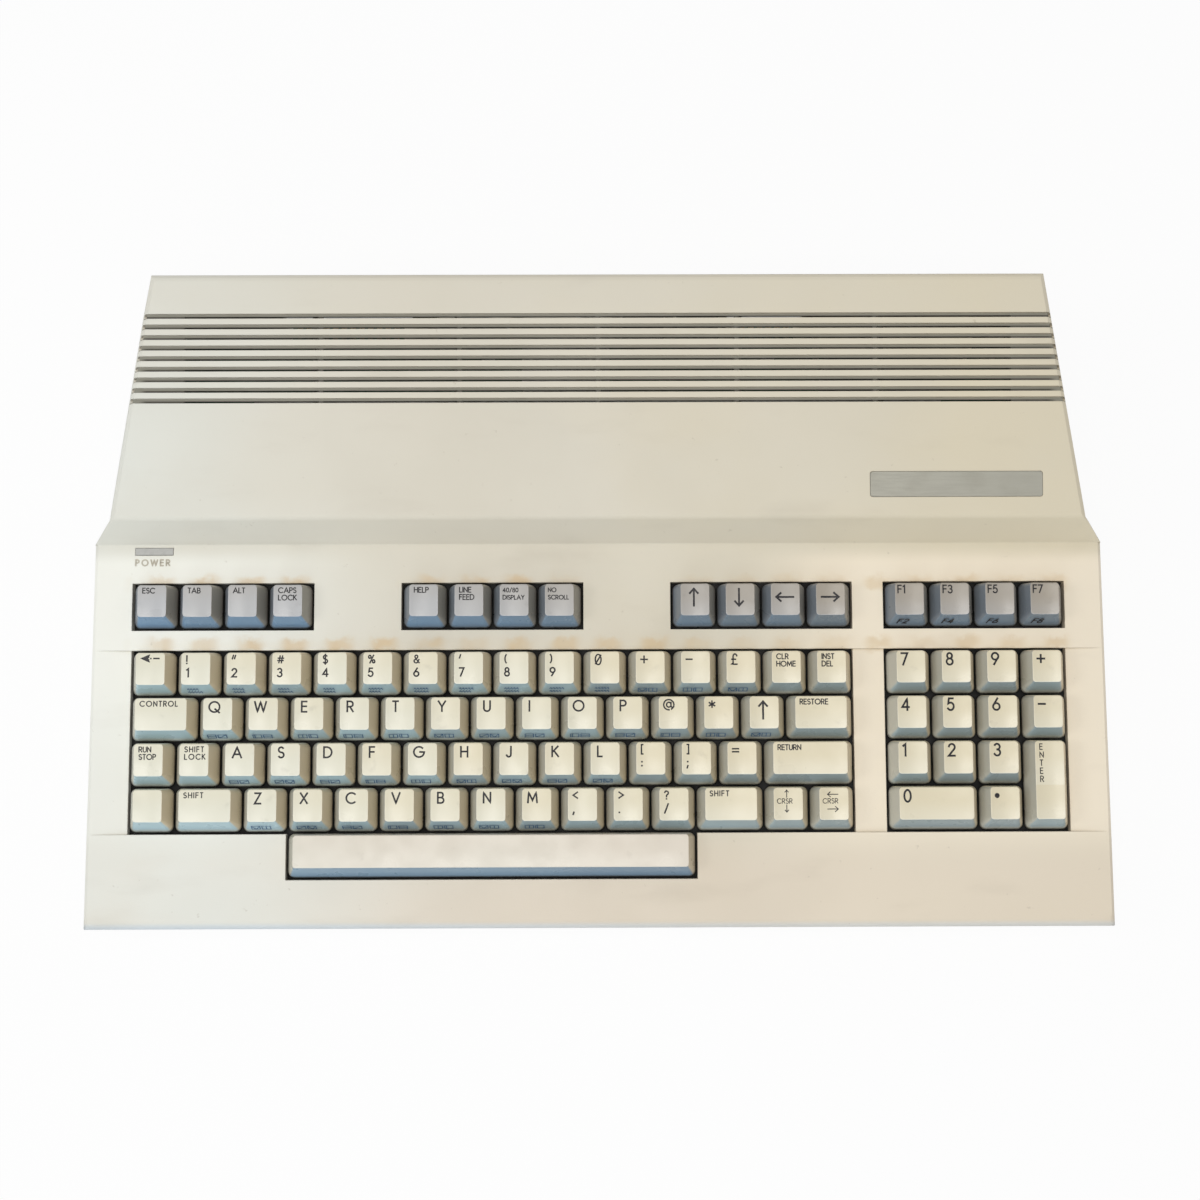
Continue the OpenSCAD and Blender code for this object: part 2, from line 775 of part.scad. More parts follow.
// Screw that points up, with a cross recess in its head
module screw(length, shank = screw_r) {
    difference() {
        union() {
            cylinder(r = screw_head_r, h = screw_head_h);
            cylinder(r = shank, h = length);
        }
        for (a = [0, 90])
            rotate([0, 0, a])
                span([-screw_head_r * 0.6, -0.4, -1], [screw_head_r * 0.6, 0.4, screw_head_h / 2]);
    }
}

module case_screws() {
    color(silver) {
        for (p = CASE_SCREWS)
            translate([p.x, p.y, foot_h + 1])
                screw(parting_h - foot_h - 1 + screw_bite);
        for (p = BOARD_SCREWS)
            translate([p.x, p.y, board_top + screw_head_h])
                mirror([0, 0, 1])
                    screw(screw_head_h + board_t + 3);
        on_keyboard()
            for (k = FRAME_BOSSES)
                frame_boss_at(k)
                    translate([0, 0, plate_z - plate_t - screw_head_h])
                        screw(screw_head_h + plate_t + 3, screw_r - 0.3);
    }
}

// ---- Keys ----
// Outer or inner form of one cap over a w by d cell, shrunk by t; its open end is at z = 0
module cap_form(w, d, t, dished) {
    half = w / 2 - key_gap / 2 - t;
    front = -d / 2 + key_gap / 2 + t;
    back = d / 2 - key_gap / 2 - t;
    top = t > 0 ? cap_ceiling : cap_h;
    low = t > 0 ? -eps : 0;
    side_in = cap_side * top / cap_h;
    dish = dished ? [for (i = [1 : 5]) let (u = 1 - i / 3)
        [u * (half - side_in), top - dish_depth * (1 - u * u)]] : [];
    profile = concat([[-half, low], [half, low], [half - side_in, top]], dish, [[-half + side_in, top]]);
    intersection() {
        translate([0, front - 1, 0])
            along_y(profile, back - front + 2);
        along_x([[front, low], [back, low], [back - cap_back * top / cap_h, top],
            [front + cap_front * top / cap_h, top]], 2 * w);
    }
}

// Chamfers the four corners of a cap
module cap_corner_cut(w, d) {
    base = (w + d - 2 * key_gap) / 2 / sqrt(2) - cap_corner;
    front = base - (cap_side + cap_front) / sqrt(2) + cap_corner / 3;
    back = base - (cap_side + cap_back) / sqrt(2) + cap_corner / 3;
    for (m = [0, 1])
        mirror([m, 0, 0])
            rotate([0, 0, -45])
                translate([0, -reach / 2, 0])
                    along_y([[-reach, -1], [-reach, cap_h + 1], [-back, cap_h + 1], [-back, cap_h],
                        [-base, 0], [-base, -1]], reach);
    for (m = [0, 1])
        mirror([m, 0, 0])
            rotate([0, 0, -45])
                translate([0, -reach / 2, 0])
                    along_y([[base, -1], [base, 0], [front, cap_h], [front, cap_h + 1], [reach, cap_h + 1],
                        [reach, -1]], reach);
}

// One key: hollow cap with its plungers
module key(w, d, plungers = [0]) {
    union() {
        difference() {
            cap_form(w, d, 0, true);
            cap_form(w, d, cap_wall, false);
            cap_corner_cut(w, d);
        }
        for (x = plungers)
            span([x - plunger_w / 2, -plunger_w / 2, stem_end],
                [x + plunger_w / 2, plunger_w / 2, cap_ceiling + eps]);
    }
}

module key_group(keys, tint) {
    color(tint)
        on_keyboard()
            for (k = keys)
                translate([(k[0] + k[2] / 2) * pitch, (k[1] + k[3] / 2) * pitch, 0])
                    key(k[2] * pitch, k[3] * pitch);
}

// Middle of the space bar in the keyboard's frame
bar_centre = [(space_x + space_u / 2) * pitch, -pitch / 2, 0];

module space_bar() {
    slot_half = wire_d / 2 + lug_gap;
    color(cream)
        on_keyboard()
            translate(bar_centre) {
                key(space_u * pitch, pitch, [-bar_post, 0, bar_post]);
                // Lugs that the ends of the stabiliser wire hook into
                for (side = [-1, 1])
                    translate([side * wire_span / 2, wire_tip.x - bar_centre.y, wire_tip.y])
                        difference() {
                            span([-lug_w / 2, -2.4, -slot_half - lug_wall],
                                [lug_w / 2, 2.4, cap_ceiling - wire_tip.y + eps]);
                            span([-lug_w, -1.5, -slot_half], [lug_w, 3, slot_half]);
                        }
            }
}

// Wire that keeps the space bar level: a long bar on the pivot, two arms and two hooks
module stabiliser_wire() {
    r = wire_d / 2;
    color(silver)
        on_keyboard()
            translate([bar_centre.x, 0, 0])
                union() {
                    translate([-wire_span / 2 - wire_hook, wire_pivot.x, wire_pivot.y])
                        rotate([0, 90, 0])
                            cylinder(r = r, h = wire_span + 2 * wire_hook);
                    for (side = [-1, 1])
                        translate([side * (wire_span / 2 + wire_hook), wire_pivot.x, wire_pivot.y])
                            rotate([-wire_rest, 0, 0]) {
                                rotate([90, 0, 0])
                                    cylinder(r = r, h = wire_arm);
                                sphere(r = r);
                                translate([0, -wire_arm, 0]) {
                                    sphere(r = r);
                                    rotate([0, -side * 90, 0])
                                        cylinder(r = r, h = wire_hook + lug_w / 2);
                                }
                            }
                }
}

module keyboard_frame() {
    inner = plunger_w + 2 * plunger_gap;
    color(black)
        on_keyboard()
            difference() {
                union() {
                    span([-frame_margin, frame_front, plate_z - plate_t],
                        [block_u * pitch + frame_margin, frame_rear, plate_z]);
                    // Turned-down edges
                    for (y = [frame_front, frame_rear - 1.6])
                        span([-frame_margin, y, plate_z - plate_t - 3],
                            [block_u * pitch + frame_margin, y + 1.6, plate_z]);
                    guides(guide_w, key_board_z, guide_top);
                    // Clips for the stabiliser wire
                    for (x = [-clip_x, clip_x])
                        translate([bar_centre.x + x, wire_pivot.x, plate_z])
                            span([-clip_w / 2, -clip_wall, -1],
                                [clip_w / 2, clip_wall, wire_pivot.y - plate_z + clip_wall]);
                    // Pegs inside the space bar's springs
                    for (x = [-spring_x, spring_x])
                        translate([bar_centre.x + x, bar_centre.y, plate_z - 1])
                            cylinder(r = spring_r - spring_wire - 0.3, h = 3, $fn = 8);
                }
                guides(inner, key_board_z - 1, guide_top + 1);
                // Eyes of the clips, eight-sided with flats that clear the wire
                translate([bar_centre.x, wire_pivot.x, wire_pivot.y])
                    rotate([0, 90, 0])
                        cylinder(r = (wire_d / 2 + pivot_gap) / cos(180 / 8), h = 3 * clip_x,
                            center = true, $fn = 8);
                for (k = FRAME_BOSSES)
                    frame_boss_at(k)
                        translate([0, 0, plate_z - plate_t - 1])
                            cylinder(r = screw_hole_r, h = plate_t + 2, $fn = 8);
            }
}

// Square tubes at every plunger
module guides(w, low, high) {
    for (k = ALL_KEYS, x = k[2] == space_u ? [-bar_post, 0, bar_post] : [0])
        translate([(k[0] + k[2] / 2) * pitch + x, (k[1] + k[3] / 2) * pitch, 0])
            span([-w / 2, -w / 2, low], [w / 2, w / 2, high]);
}

module keyboard_board() {
    color(board_green)
        on_keyboard()
            span([-frame_margin + 1, frame_front + 2, key_board_z - key_board_t],
                [block_u * pitch + frame_margin - 1, frame_rear - 2, key_board_z]);
}

// Coil of wire about +Z as one swept tube
module coil(r, wire_r, height, turns, steps = 16, sides = 6) {
    rings = turns * steps;
    points = [
        for (i = [0 : rings], j = [0 : sides - 1])
            let (a = 360 * i / steps, b = 360 * j / sides)
                [(r + wire_r * cos(b)) * cos(a), (r + wire_r * cos(b)) * sin(a),
                    height * i / rings + wire_r * sin(b)]
    ];
    faces = concat(
        [[for (j = [0 : sides - 1]) j]],
        [for (i = [0 : rings - 1], j = [0 : sides - 1])
            let (k = (j + 1) % sides)
                [i * sides + j, (i + 1) * sides + j, (i + 1) * sides + k, i * sides + k]],
        [[for (j = [sides - 1 : -1 : 0]) rings * sides + j]]
    );
    polyhedron(points, faces, convexity = 8);
}

module space_bar_springs() {
    low = spring_wire + 0.1;
    color(silver)
        on_keyboard()
            translate(bar_centre)
                for (x = [-spring_x, spring_x])
                    translate([x, 0, plate_z + low])
                        coil(spring_r, spring_wire, cap_ceiling - plate_z - 2 * low, 4);
}

// ---- Electronics ----
module main_board() {
    color(board_green)
        difference() {
            union() {
                span([-board_w / 2, board_front, board_h], [board_w / 2, board_rear, board_top]);
                for (s = [[cassette_x, cassette_w], [user_x, user_w]])
                    span([s[0] - s[1] / 2 + 4, board_rear - 6, board_h],
                        [s[0] + s[1] / 2 - 4, tongue_end, board_top]);
                for (x = [serial_x, video_x])
                    span([x - din_w / 2 + 1, board_rear - 6, board_h],
                        [x + din_w / 2 - 1, socket_face, board_top]);
            }
            for (p = BOARD_SCREWS)
                translate([p.x, p.y, board_h - 1])
                    cylinder(r = screw_hole_r, h = board_t + 2);
            for (p = CASE_SCREWS)
                translate([p.x, p.y, board_h - 1])
                    cylinder(r = boss_r + 0.5, h = board_t + 2);
        }
}

// Integrated circuits in rows under the shield, each as [x, y, length, width]
shield_front = board_front + 18;
function chip_row(count, space, y, length, width) = [
    for (i = [0 : count - 1]) [(i - (count - 1) / 2) * space, shield_front + y, length, width]
];
CHIPS = concat(chip_row(5, 56, 11, 51, 14), chip_row(6, 44, 29, 37, 14), chip_row(8, 34, 43, 21, 7));

module board_chips() {
    color(black)
        for (c = CHIPS)
            translate([c[0], c[1], board_top])
                difference() {
                    span([-c[2] / 2, -c[3] / 2, 0], [c[2] / 2, c[3] / 2, 4]);
                    translate([-c[2] / 2, 0, 3.2])
                        cylinder(r = 1.2, h = 2);
                }
}

module board_shield() {
    top = board_top + shield_h;
    shield_rear = shield_front + shield_d;
    outline = [[-shield_w / 2, shield_front], [shield_w / 2, shield_front],
        [shield_w / 2, shield_rear], [-shield_w / 2, shield_rear]];
    color(silver)
        difference() {
            translate([0, 0, board_top])
                linear_extrude(height = shield_h)
                    polygon(outline);
            translate([0, 0, board_top - 1])
                linear_extrude(height = shield_h - sheet_t + 1)
                    polygon(inset_outline(outline, sheet_t));
            for (i = [-5 : 5], j = [0 : 2])
                translate([24 * i, shield_front + 11 + 14 * j, top])
                    span([-8, -1.5, -2], [8, 1.5, 1]);
        }
}

// Cartridge connector: a block with a card slot, at the end of the bay
module expansion_port() {
    face = y_rear - bay_depth;
    color(black)
        difference() {
            span([expansion_x - expansion_w / 2, face - 12, board_top],
                [expansion_x + expansion_w / 2, face, board_top + 14]);
            span([expansion_x - expansion_w / 2 + 3, face - 9, board_top + 6],
                [expansion_x + expansion_w / 2 - 3, face + 1, board_top + 8]);
        }
}

// Round socket: a block with a ring-shaped gap round its insert, facing +Y
module din_socket(pins) {
    difference() {
        span([-din_w / 2 + 1, -socket_depth, 0], [din_w / 2 - 1, 0, 17]);
        translate([0, -6, 9])
            rotate([-90, 0, 0])
                difference() {
                    cylinder(r = 7.2, h = 8);
                    translate([0, 0, -1])
                        cylinder(r = 5.9, h = 8);
                }
        for (i = [0 : pins - 1])
            let (a = -210 + 240 * i / (pins - 1))
                translate([3.6 * cos(a), -2, 9 - 3.6 * sin(a)])
                    rotate([-90, 0, 0])
                        cylinder(r = 0.7, h = 3, $fn = 8);
    }
}

module din_sockets() {
    color(black) {
        translate([serial_x, socket_face, board_top])
            din_socket(6);
        translate([video_x, socket_face, board_top])
            din_socket(8);
    }
}

// Outline of a nine-way D socket about its centre
function d_outline(w, h) = rounded(
    [[-w / 2 + 0.8, -h / 2], [w / 2 - 0.8, -h / 2], [w / 2, h / 2], [-w / 2, h / 2]], [2, 2, 2, 2], 3);

module rgb_socket() {
    color(silver)
        translate([rgb_x, socket_face - 5, board_top + 7.5])
            difference() {
                union() {
                    translate([0, -socket_depth + 5, 0])
                        along_y(slab(31, 12.5, 1.5) - [for (i = [0 : 15]) [0, 6.25]], socket_depth - 5);
                    along_y(d_outline(16.3, 7.9), 5);
                    span([-13, -socket_depth + 5, -7.5], [13, -1.5, 0]);
                }
                for (i = [0 : 8])
                    translate([(i < 5 ? (i - 2) : (i - 6.5)) * 2.77, 1, i < 5 ? 1.4 : -1.4])
                        rotate([-90, 0, 0])
                            cylinder(r = 0.55, h = 6);
            }
}

module rf_modulator() {
    color(silver)
        difference() {
            union() {
                span([modulator_x - modulator_w / 2 + 1, modulator_face - 30, board_top],
                    [modulator_x + modulator_w / 2 - 1, modulator_face, board_top + 22]);
                translate([jack_x, modulator_face - 1, side_z + 2])
                    rotate([-90, 0, 0])
                        cylinder(r = jack_r, h = jack_len + 1);
            }
            translate([jack_x, modulator_face + 1, side_z + 2])
                rotate([-90, 0, 0])
                    cylinder(r = 1.6, h = jack_len);
            // Slot of the channel switch
            span([channel_x - 1.6 - 0.3, modulator_face - 4, side_z + 0.7],
                [channel_x + 1.6 + channel_travel + 0.3, modulator_face + 1, side_z + 3.3]);
        }
}

// Male game sockets in the side bay, facing +X
module joystick_sockets() {
    color(black)
        for (y = stick_y)
            translate([bay_x - 0.5, y, side_z])
                rotate([0, 0, -90])
                    difference() {
                        span([-stick_w / 2 + 0.3, -socket_depth, board_top - side_z],
                            [stick_w / 2 - 0.3, 0, stick_h / 2 - 0.3]);
                        translate([0, -6, 0])
                            along_y(d_outline(17, 8.6), 8);
                    }
}

// Square bar out of the power inlet's face, drawn in by inset
module power_ring(inset, more) {
    half = power_w / 2 - 0.3 - inset;
    span([bay_x - 8 - more, power_y - half, board_top + inset],
        [bay_x + 1 + more, power_y + half, board_top + inset + 2 * half]);
}

// Square power inlet with a gap round its insert, facing +X
module power_socket() {
    w = power_w - 0.6;
    z0 = board_top;
    color(black)
        difference() {
            span([side_socket_x, power_y - w / 2, z0], [bay_x - 0.5, power_y + w / 2, z0 + w]);
            difference() {
                power_ring(1.5, 0);
                power_ring(2.8, 1);
            }
        }
}

// Housings behind the rocker and the reset button
module switch_housing() {
    cavity_y = rocker_w / 2 + 0.4;
    cavity_z = rocker_h / 2 + 0.6;
    color(black) {
        difference() {
            span([side_socket_x, rocker_y - rocker_w / 2 - 1.4, rocker_z - rocker_h / 2 - 1.4],
                [bay_x - 0.4, rocker_y + rocker_w / 2 + 1.4, rocker_top]);
            span([side_socket_x + 2, rocker_y - cavity_y, rocker_z - cavity_z],
                [bay_x + 1, rocker_y + cavity_y, rocker_z + cavity_z]);
            translate([rocker_x, rocker_y, rocker_z])
                rotate([90, 0, 0])
                    cylinder(r = pivot_r + pivot_gap, h = rocker_w + 2.2, center = true);
        }
        difference() {
            span([side_socket_x, reset_y - 5, board_top], [reset_stop, reset_y + 5, side_z + 5]);
            translate([reset_stop - 1, reset_y, side_z])
                rotate([0, 90, 0])
                    cylinder(r = 1.2, h = 2);
        }
    }
}

module power_rocker() {
    half = rocker_h / 2 - 0.4;
    outline = rounded([[-6, -3], [0, -half], [5.2, -half], [3.6, 0], [5.2, half], [0, half], [-6, 3]],
        [1, 1, 0.6, 0, 0.6, 1, 1], 3);
    color(black)
        translate([rocker_x, rocker_y, rocker_z])
            rotate([0, -rocker_throw / 2, 0])
                union() {
                    translate([0, -rocker_w / 2, 0])
                        along_y(outline, rocker_w);
                    rotate([90, 0, 0])
                        cylinder(r = pivot_r, h = rocker_w + 2, center = true);
                }
}

module reset_button() {
    color(black)
        translate([0, reset_y, side_z])
            rotate([0, 90, 0])
                translate([0, 0, bay_x - wall - reset_back]) {
                    cylinder(r = reset_r, h = wall + reset_back + 2);
                    cylinder(r = reset_r + 1, h = reset_back - 0.1);
                }
}

module channel_switch() {
    color(black)
        span([channel_x - 1.6, modulator_face - 2.5, side_z + 1],
            [channel_x + 1.6, modulator_face + 2, side_z + 3]);
}

// Flat cable from the keyboard board down to the main board
module keyboard_cable() {
    under_board = key_board_z - key_board_t - panel_over_skirt - cable_t;
    start = [y_front, front_h] + turned([key_setback + frame_rear - 6, under_board], panel_tilt);
    path = [start, [start.x + 4, start.y - 4], [start.x + 10, board_top + 5],
        [board_front + 3, board_top + 4], [board_front + 6, board_top]];
    color(silver)
        translate([cable_x, 0, 0])
            along_x(concat(path, [for (i = [4 : -1 : 0]) path[i] + [0.6, cable_t]]), cable_w);
}

bottom_case();
top_case();
badge_plate();
power_lens();
power_led();
rubber_feet();
case_screws();
keyboard_frame();
keyboard_board();
main_board();
board_chips();
board_shield();
expansion_port();
din_sockets();
rgb_socket();
rf_modulator();
joystick_sockets();
power_socket();
switch_housing();
keyboard_cable();
power_rocker();
reset_button();
channel_switch();
space_bar_springs();
stabiliser_wire();
space_bar();
key_group(K_ESC, lavender);  // keys_esc_tab_alt
key_group(K_CAPS, lavender);  // key_caps_lock
key_group(K_HELP, lavender);  // keys_help_scroll
key_group(K_DISPLAY, lavender);  // key_display
key_group(K_ARROW, lavender);  // keys_arrow
key_group(K_FUNCTION, lavender);  // keys_function
key_group(K_NUMBER[0], cream);  // keys_number_a
key_group(K_NUMBER[1], cream);  // keys_number_b
key_group(K_NUMBER[2], cream);  // keys_number_c
key_group(K_NUMBER[3], cream);  // keys_number_d
key_group(K_CONTROL, cream);  // key_control
key_group(K_QWER, cream);  // keys_q_to_r
key_group(K_TYUI, cream);  // keys_t_to_i
key_group(K_OP, cream);  // keys_o_to_arrow
key_group(K_RESTORE, cream);  // key_restore
key_group(K_RUN, cream);  // key_run_stop
key_group(K_LOCK, cream);  // key_shift_lock
key_group(K_ASDF, cream);  // keys_a_to_f
key_group(K_GHJK, cream);  // keys_g_to_k
key_group(K_LEND, cream);  // keys_l_to_equals
key_group(K_RETURN, cream);  // key_return
key_group(K_BLANK, cream);  // key_blank
key_group(K_LSHIFT, cream);  // key_left_shift
key_group(K_ZXCVB, cream);  // keys_z_to_b
key_group(K_NM, cream);  // keys_n_to_slash
key_group(K_RSHIFT, cream);  // key_right_shift
key_group(K_CURSOR, cream);  // keys_cursor
key_group(K_PAD[0], cream);  // pad_7_8_9
key_group(K_PAD[1], cream);  // pad_4_5_6
key_group(K_PAD[2], cream);  // pad_1_2_3
key_group(K_PLUS, cream);  // pad_plus_minus
key_group(K_ZERO, cream);  // pad_zero
key_group(K_POINT, cream);  // pad_point
key_group(K_ENTER, cream);  // pad_enter
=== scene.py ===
"""Looks of a vintage home computer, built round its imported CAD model.

The CAD model gives the case, the boards, the sockets and the switches. This script adds what moulding
and printing give them: finely rounded key caps with their legends, the pins and contacts of the
sockets, raised lettering, and the finish of every surface.
"""

import logging
import math
from dataclasses import dataclass, field, replace
from enum import Enum
from typing import Callable, ClassVar, Iterable, Sequence

import bpy
import numpy as np
from mathutils import Euler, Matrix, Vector


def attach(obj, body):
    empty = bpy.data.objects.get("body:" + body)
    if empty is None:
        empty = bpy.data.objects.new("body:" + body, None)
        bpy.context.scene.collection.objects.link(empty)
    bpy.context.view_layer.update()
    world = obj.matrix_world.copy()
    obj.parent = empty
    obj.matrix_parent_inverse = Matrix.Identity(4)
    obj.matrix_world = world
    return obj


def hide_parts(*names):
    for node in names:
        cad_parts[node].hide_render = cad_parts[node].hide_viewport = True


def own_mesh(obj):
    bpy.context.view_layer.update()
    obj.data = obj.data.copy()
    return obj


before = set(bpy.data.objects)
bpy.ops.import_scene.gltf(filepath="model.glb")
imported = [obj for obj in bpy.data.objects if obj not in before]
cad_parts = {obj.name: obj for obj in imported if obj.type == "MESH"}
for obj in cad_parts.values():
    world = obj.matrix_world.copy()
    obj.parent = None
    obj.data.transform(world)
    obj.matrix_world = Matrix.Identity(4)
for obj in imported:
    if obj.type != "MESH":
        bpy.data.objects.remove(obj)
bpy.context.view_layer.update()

log = logging.getLogger("computer")

MM = 0.001

Point = tuple[float, float]
Spot = tuple[float, float, float]
Stroke = list[Point]
Color = tuple[float, float, float]
Socket = bpy.types.NodeSocket
Value = float | Socket
Tint = Color | Socket


# ---- Sizes shared with the CAD model, in millimetres ----

@dataclass(frozen=True)
class CaseSize:
    """Lines of the case that the added pieces and the finishes are placed by."""

    depth: float = 272.0
    front_h: float = 21.0
    panel_tilt: float = 5.0
    deck_slope: float = 9.0
    step_top_y: float = 33.403
    step_top_z: float = 47.866
    groove_start: float = 49.6
    groove_pitch: float = 4.475
    groove_count: int = 9
    groove_w: float = 2.0
    bay_x: float = 198.0
    board_top: float = 13.6
    board_t: float = 1.6
    side_z: float = 20.1


@dataclass(frozen=True)
class KeySize:
    """Shape of the key caps and of what holds them."""

    pitch: float = 19.05
    gap: float = 0.7
    height: float = 9.0
    side: float = 3.0
    front: float = 4.3
    back: float = 0.4
    dish: float = 0.9
    wall: float = 1.4
    stem: float = 5.2
    stem_end: float = -8.5
    stem_edge: float = 0.3
    plate_drop: float = 4.3
    travel: float = 3.8
    skirt_r: float = 2.7
    top_r: float = 1.5
    edge: float = 0.42
    foot_inset: float = 0.12
    foot_h: float = 0.15
    side_bend: float = 1.12

    @property
    def ceiling(self) -> float:
        """Height of the hollow under a cap's top."""
        return self.height - self.wall - self.dish


CASE = CaseSize()
KEY = KeySize()
# How far the row over the space bar is from the front edge, and the panel over the skirts' feet
KEY_SETBACK = 39.7
PANEL_OVER_SKIRT = 2.0
# Width of all the keys, place of the rear row and place of the number pad, in key units
BLOCK_U = 20.75
FUNCTION_Y = 4.5
PAD_X = 16.75


class Frame:
    """A tilted plane of the case with its own x, y and z, in millimetres."""

    def __init__(self, origin: Sequence[float], tilt: float) -> None:
        """Places the plane.

        Args:
            origin: its zero point.
            tilt: its slope in degrees about +X.
        """
        self.origin = np.array(origin, float)
        c, s = math.cos(math.radians(tilt)), math.sin(math.radians(tilt))
        self.turn = np.array([[1, 0, 0], [0, c, -s], [0, s, c]])

    def to_row(self, points: Iterable[Sequence[float]]) -> np.ndarray:
        """Returns points of the plane in the row frame, in metres."""
        p = np.asarray(list(points), float).reshape(-1, 3)
        return (p @ self.turn.T + self.origin) * MM


def keyboard_frame() -> Frame:
    """Lays the keyboard's frame.

    Returns:
        The frame: x from the left key, y from the row over the space bar, z from the cap skirts.
    """
    turn = Frame((0, 0, 0), CASE.panel_tilt).turn
    start = np.array([-BLOCK_U * KEY.pitch / 2, -CASE.depth / 2, CASE.front_h])
    return Frame(start + turn @ np.array([0, KEY_SETBACK, -PANEL_OVER_SKIRT]), CASE.panel_tilt)


LEVEL = Frame((0, 0, 0), 0)


# ---- Meshes ----

class MeshBuilder:
    """Collects points and faces, then makes one object of them."""

    TIP_ANGLES: ClassVar[tuple[float, ...]] = (0.5, 1.0, 1.4)
    TIP_FLAT: ClassVar[float] = 0.15
    STEEP: ClassVar[float] = 0.9

    def __init__(self) -> None:
        """Starts an empty mesh."""
        self.points: list[np.ndarray] = []
        self.faces: list[tuple[int, ...]] = []
        self.slots: list[int] = []
        self.smooth: list[bool] = []
        self.count = 0

    def add(self, points: np.ndarray, faces: Iterable[Sequence[int]], slot: int = 0,
            smooth: bool = True) -> None:
        """Adds a patch.

        Args:
            points: its corners in the row frame, in metres.
            faces: corner numbers of each face, counted within the patch.
            slot: number of its material slot.
            smooth: whether its faces are shaded smooth.
        """
        base = self.count
        self.points.append(np.asarray(points, float).reshape(-1, 3))
        self.count += len(self.points[-1])
        for f in faces:
            self.faces.append(tuple(base + i for i in f))
            self.slots.append(slot)
            self.smooth.append(smooth)

    def box(self, place: Frame, low: Sequence[float], high: Sequence[float], slot: int = 0,
            bevel: float = 0.0) -> None:
        """Adds a box.

        Args:
            place: the frame that it stands in.
            low: its lowest corner.
            high: its highest corner.
            slot: number of its material slot.
            bevel: how far its upright edges and its rims are cut back.
        """
        (x0, y0, z0), (x1, y1, z1) = low, high
        b = bevel
        levels = [(z0, b), (z0 + b, 0.0), (z1 - b, 0.0), (z1, b)] if b else [(z0, 0.0), (z1, 0.0)]
        rings = []
        for z, inset in levels:
            c = b + inset
            if b:
                ring = [
                    (x0 + c, y0 + inset), (x1 - c, y0 + inset), (x1 - inset, y0 + c), (x1 - inset, y1 - c),
                    (x1 - c, y1 - inset), (x0 + c, y1 - inset), (x0 + inset, y1 - c), (x0 + inset, y0 + c),
                ]
            else:
                ring = [(x0, y0), (x1, y0), (x1, y1), (x0, y1)]
            rings.append([(x, y, z) for x, y in ring])
        self.loft(place, rings, slot, smooth=False)

    def loft(self, place: Frame, rings: Sequence[Sequence[Sequence[float]]], slot: int = 0,
             smooth: bool = True, ends: tuple[bool, bool] = (True, True)) -> None:
        """Adds a skin through closed rings.

        Args:
            place: the frame that it stands in.
            rings: its rings, all with as many points.
            slot: number of its material slot.
            smooth: whether its faces are shaded smooth.
            ends: whether its first and its last ring are closed.
        """
        n = len(rings[0])
        points = place.to_row([p for ring in rings for p in ring])
        faces: list[Sequence[int]] = []
        for k in range(len(rings) - 1):
            for i in range(n):
                j = (i + 1) % n
                faces.append((k * n + i, k * n + j, (k + 1) * n + j, (k + 1) * n + i))
        if ends[0]:
            faces.append(tuple(range(n - 1, -1, -1)))
        if ends[1]:
            last = (len(rings) - 1) * n
            faces.append(tuple(last + i for i in range(n)))
        self.add(points, faces, slot, smooth)

    def rod(self, place: Frame, start: Sequence[float], end: Sequence[float], r: float, slot: int = 0,
            sides: int = 16, tip: float = 0.0) -> None:
        """Adds a round rod.

        Args:
            place: the frame that it stands in.
            start: the middle of its near end.
            end: the middle of its far end.
            r: its radius.
            slot: number of its material slot.
            sides: how many flat sides stand for its round.
            tip: length over which its far end is rounded.
        """
        a, b = np.array(start, float), np.array(end, float)
        length = float(np.linalg.norm(b - a))
        along = (b - a) / length
        side = np.cross(along, [0, 0, 1] if abs(along[2]) < self.STEEP else [1, 0, 0])
        side /= np.linalg.norm(side)
        up = np.cross(along, side)
        stops = [(0.0, r), (length - tip, r)]
        if tip:
            stops += [(length - tip * (1 - math.sin(t)), max(r * math.cos(t), r * self.TIP_FLAT))
                      for t in self.TIP_ANGLES]
        rings = [[tuple(a + along * s + (side * math.cos(t) + up * math.sin(t)) * q)
                  for t in np.linspace(0, 2 * math.pi, sides, endpoint=False)] for s, q in stops]
        self.loft(place, rings, slot)

    def piece(self, name: str, body: str, materials: Sequence[bpy.types.Material],
              replaces: Sequence[str] = ()) -> bpy.types.Object:
        """Makes the object.

        Args:
            name: the piece's name.
            body: the CAD body that it rides on.
            materials: one per slot number.
            replaces: CAD nodes that it stands for.

        Returns:
            The object, in its place and riding on its body.
        """
        mesh = bpy.data.meshes.new(name)
        mesh.from_pydata(np.concatenate(self.points).tolist(), [], self.faces)
        mesh.polygons.foreach_set("use_smooth", self.smooth)
        mesh.polygons.foreach_set("material_index", self.slots)
        for m in materials:
            mesh.materials.append(m)
        mesh.update()
        obj = bpy.data.objects.new(name, mesh)
        bpy.context.scene.collection.objects.link(obj)
        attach(obj, body)
        if replaces:
            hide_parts(*replaces)
        log.info("made %s, %d faces", name, len(self.faces))
        return obj


# ---- Finishes ----

# Nearly all of the noise lies between these two values
NOISE_SPAN: Point = (0.3, 0.7)


@dataclass(frozen=True)
class Fade:
    """A smooth run of one value from first to last, while another goes from start to end."""

    start: float
    end: float
    first: float = 0.0
    last: float = 1.0


@dataclass(frozen=True)
class Cloud:
    """Soft noise: size of its grains in millimetres, detail, stretch along each axis and seed."""

    grain: float
    detail: float = 3.0
    stretch: Spot = (1, 1, 1)
    seed: float = 0.0


@dataclass(frozen=True)
class Patches:
    """Cloudy noise, and the fade that makes patches of it."""

    cloud: Cloud
    fade: Fade


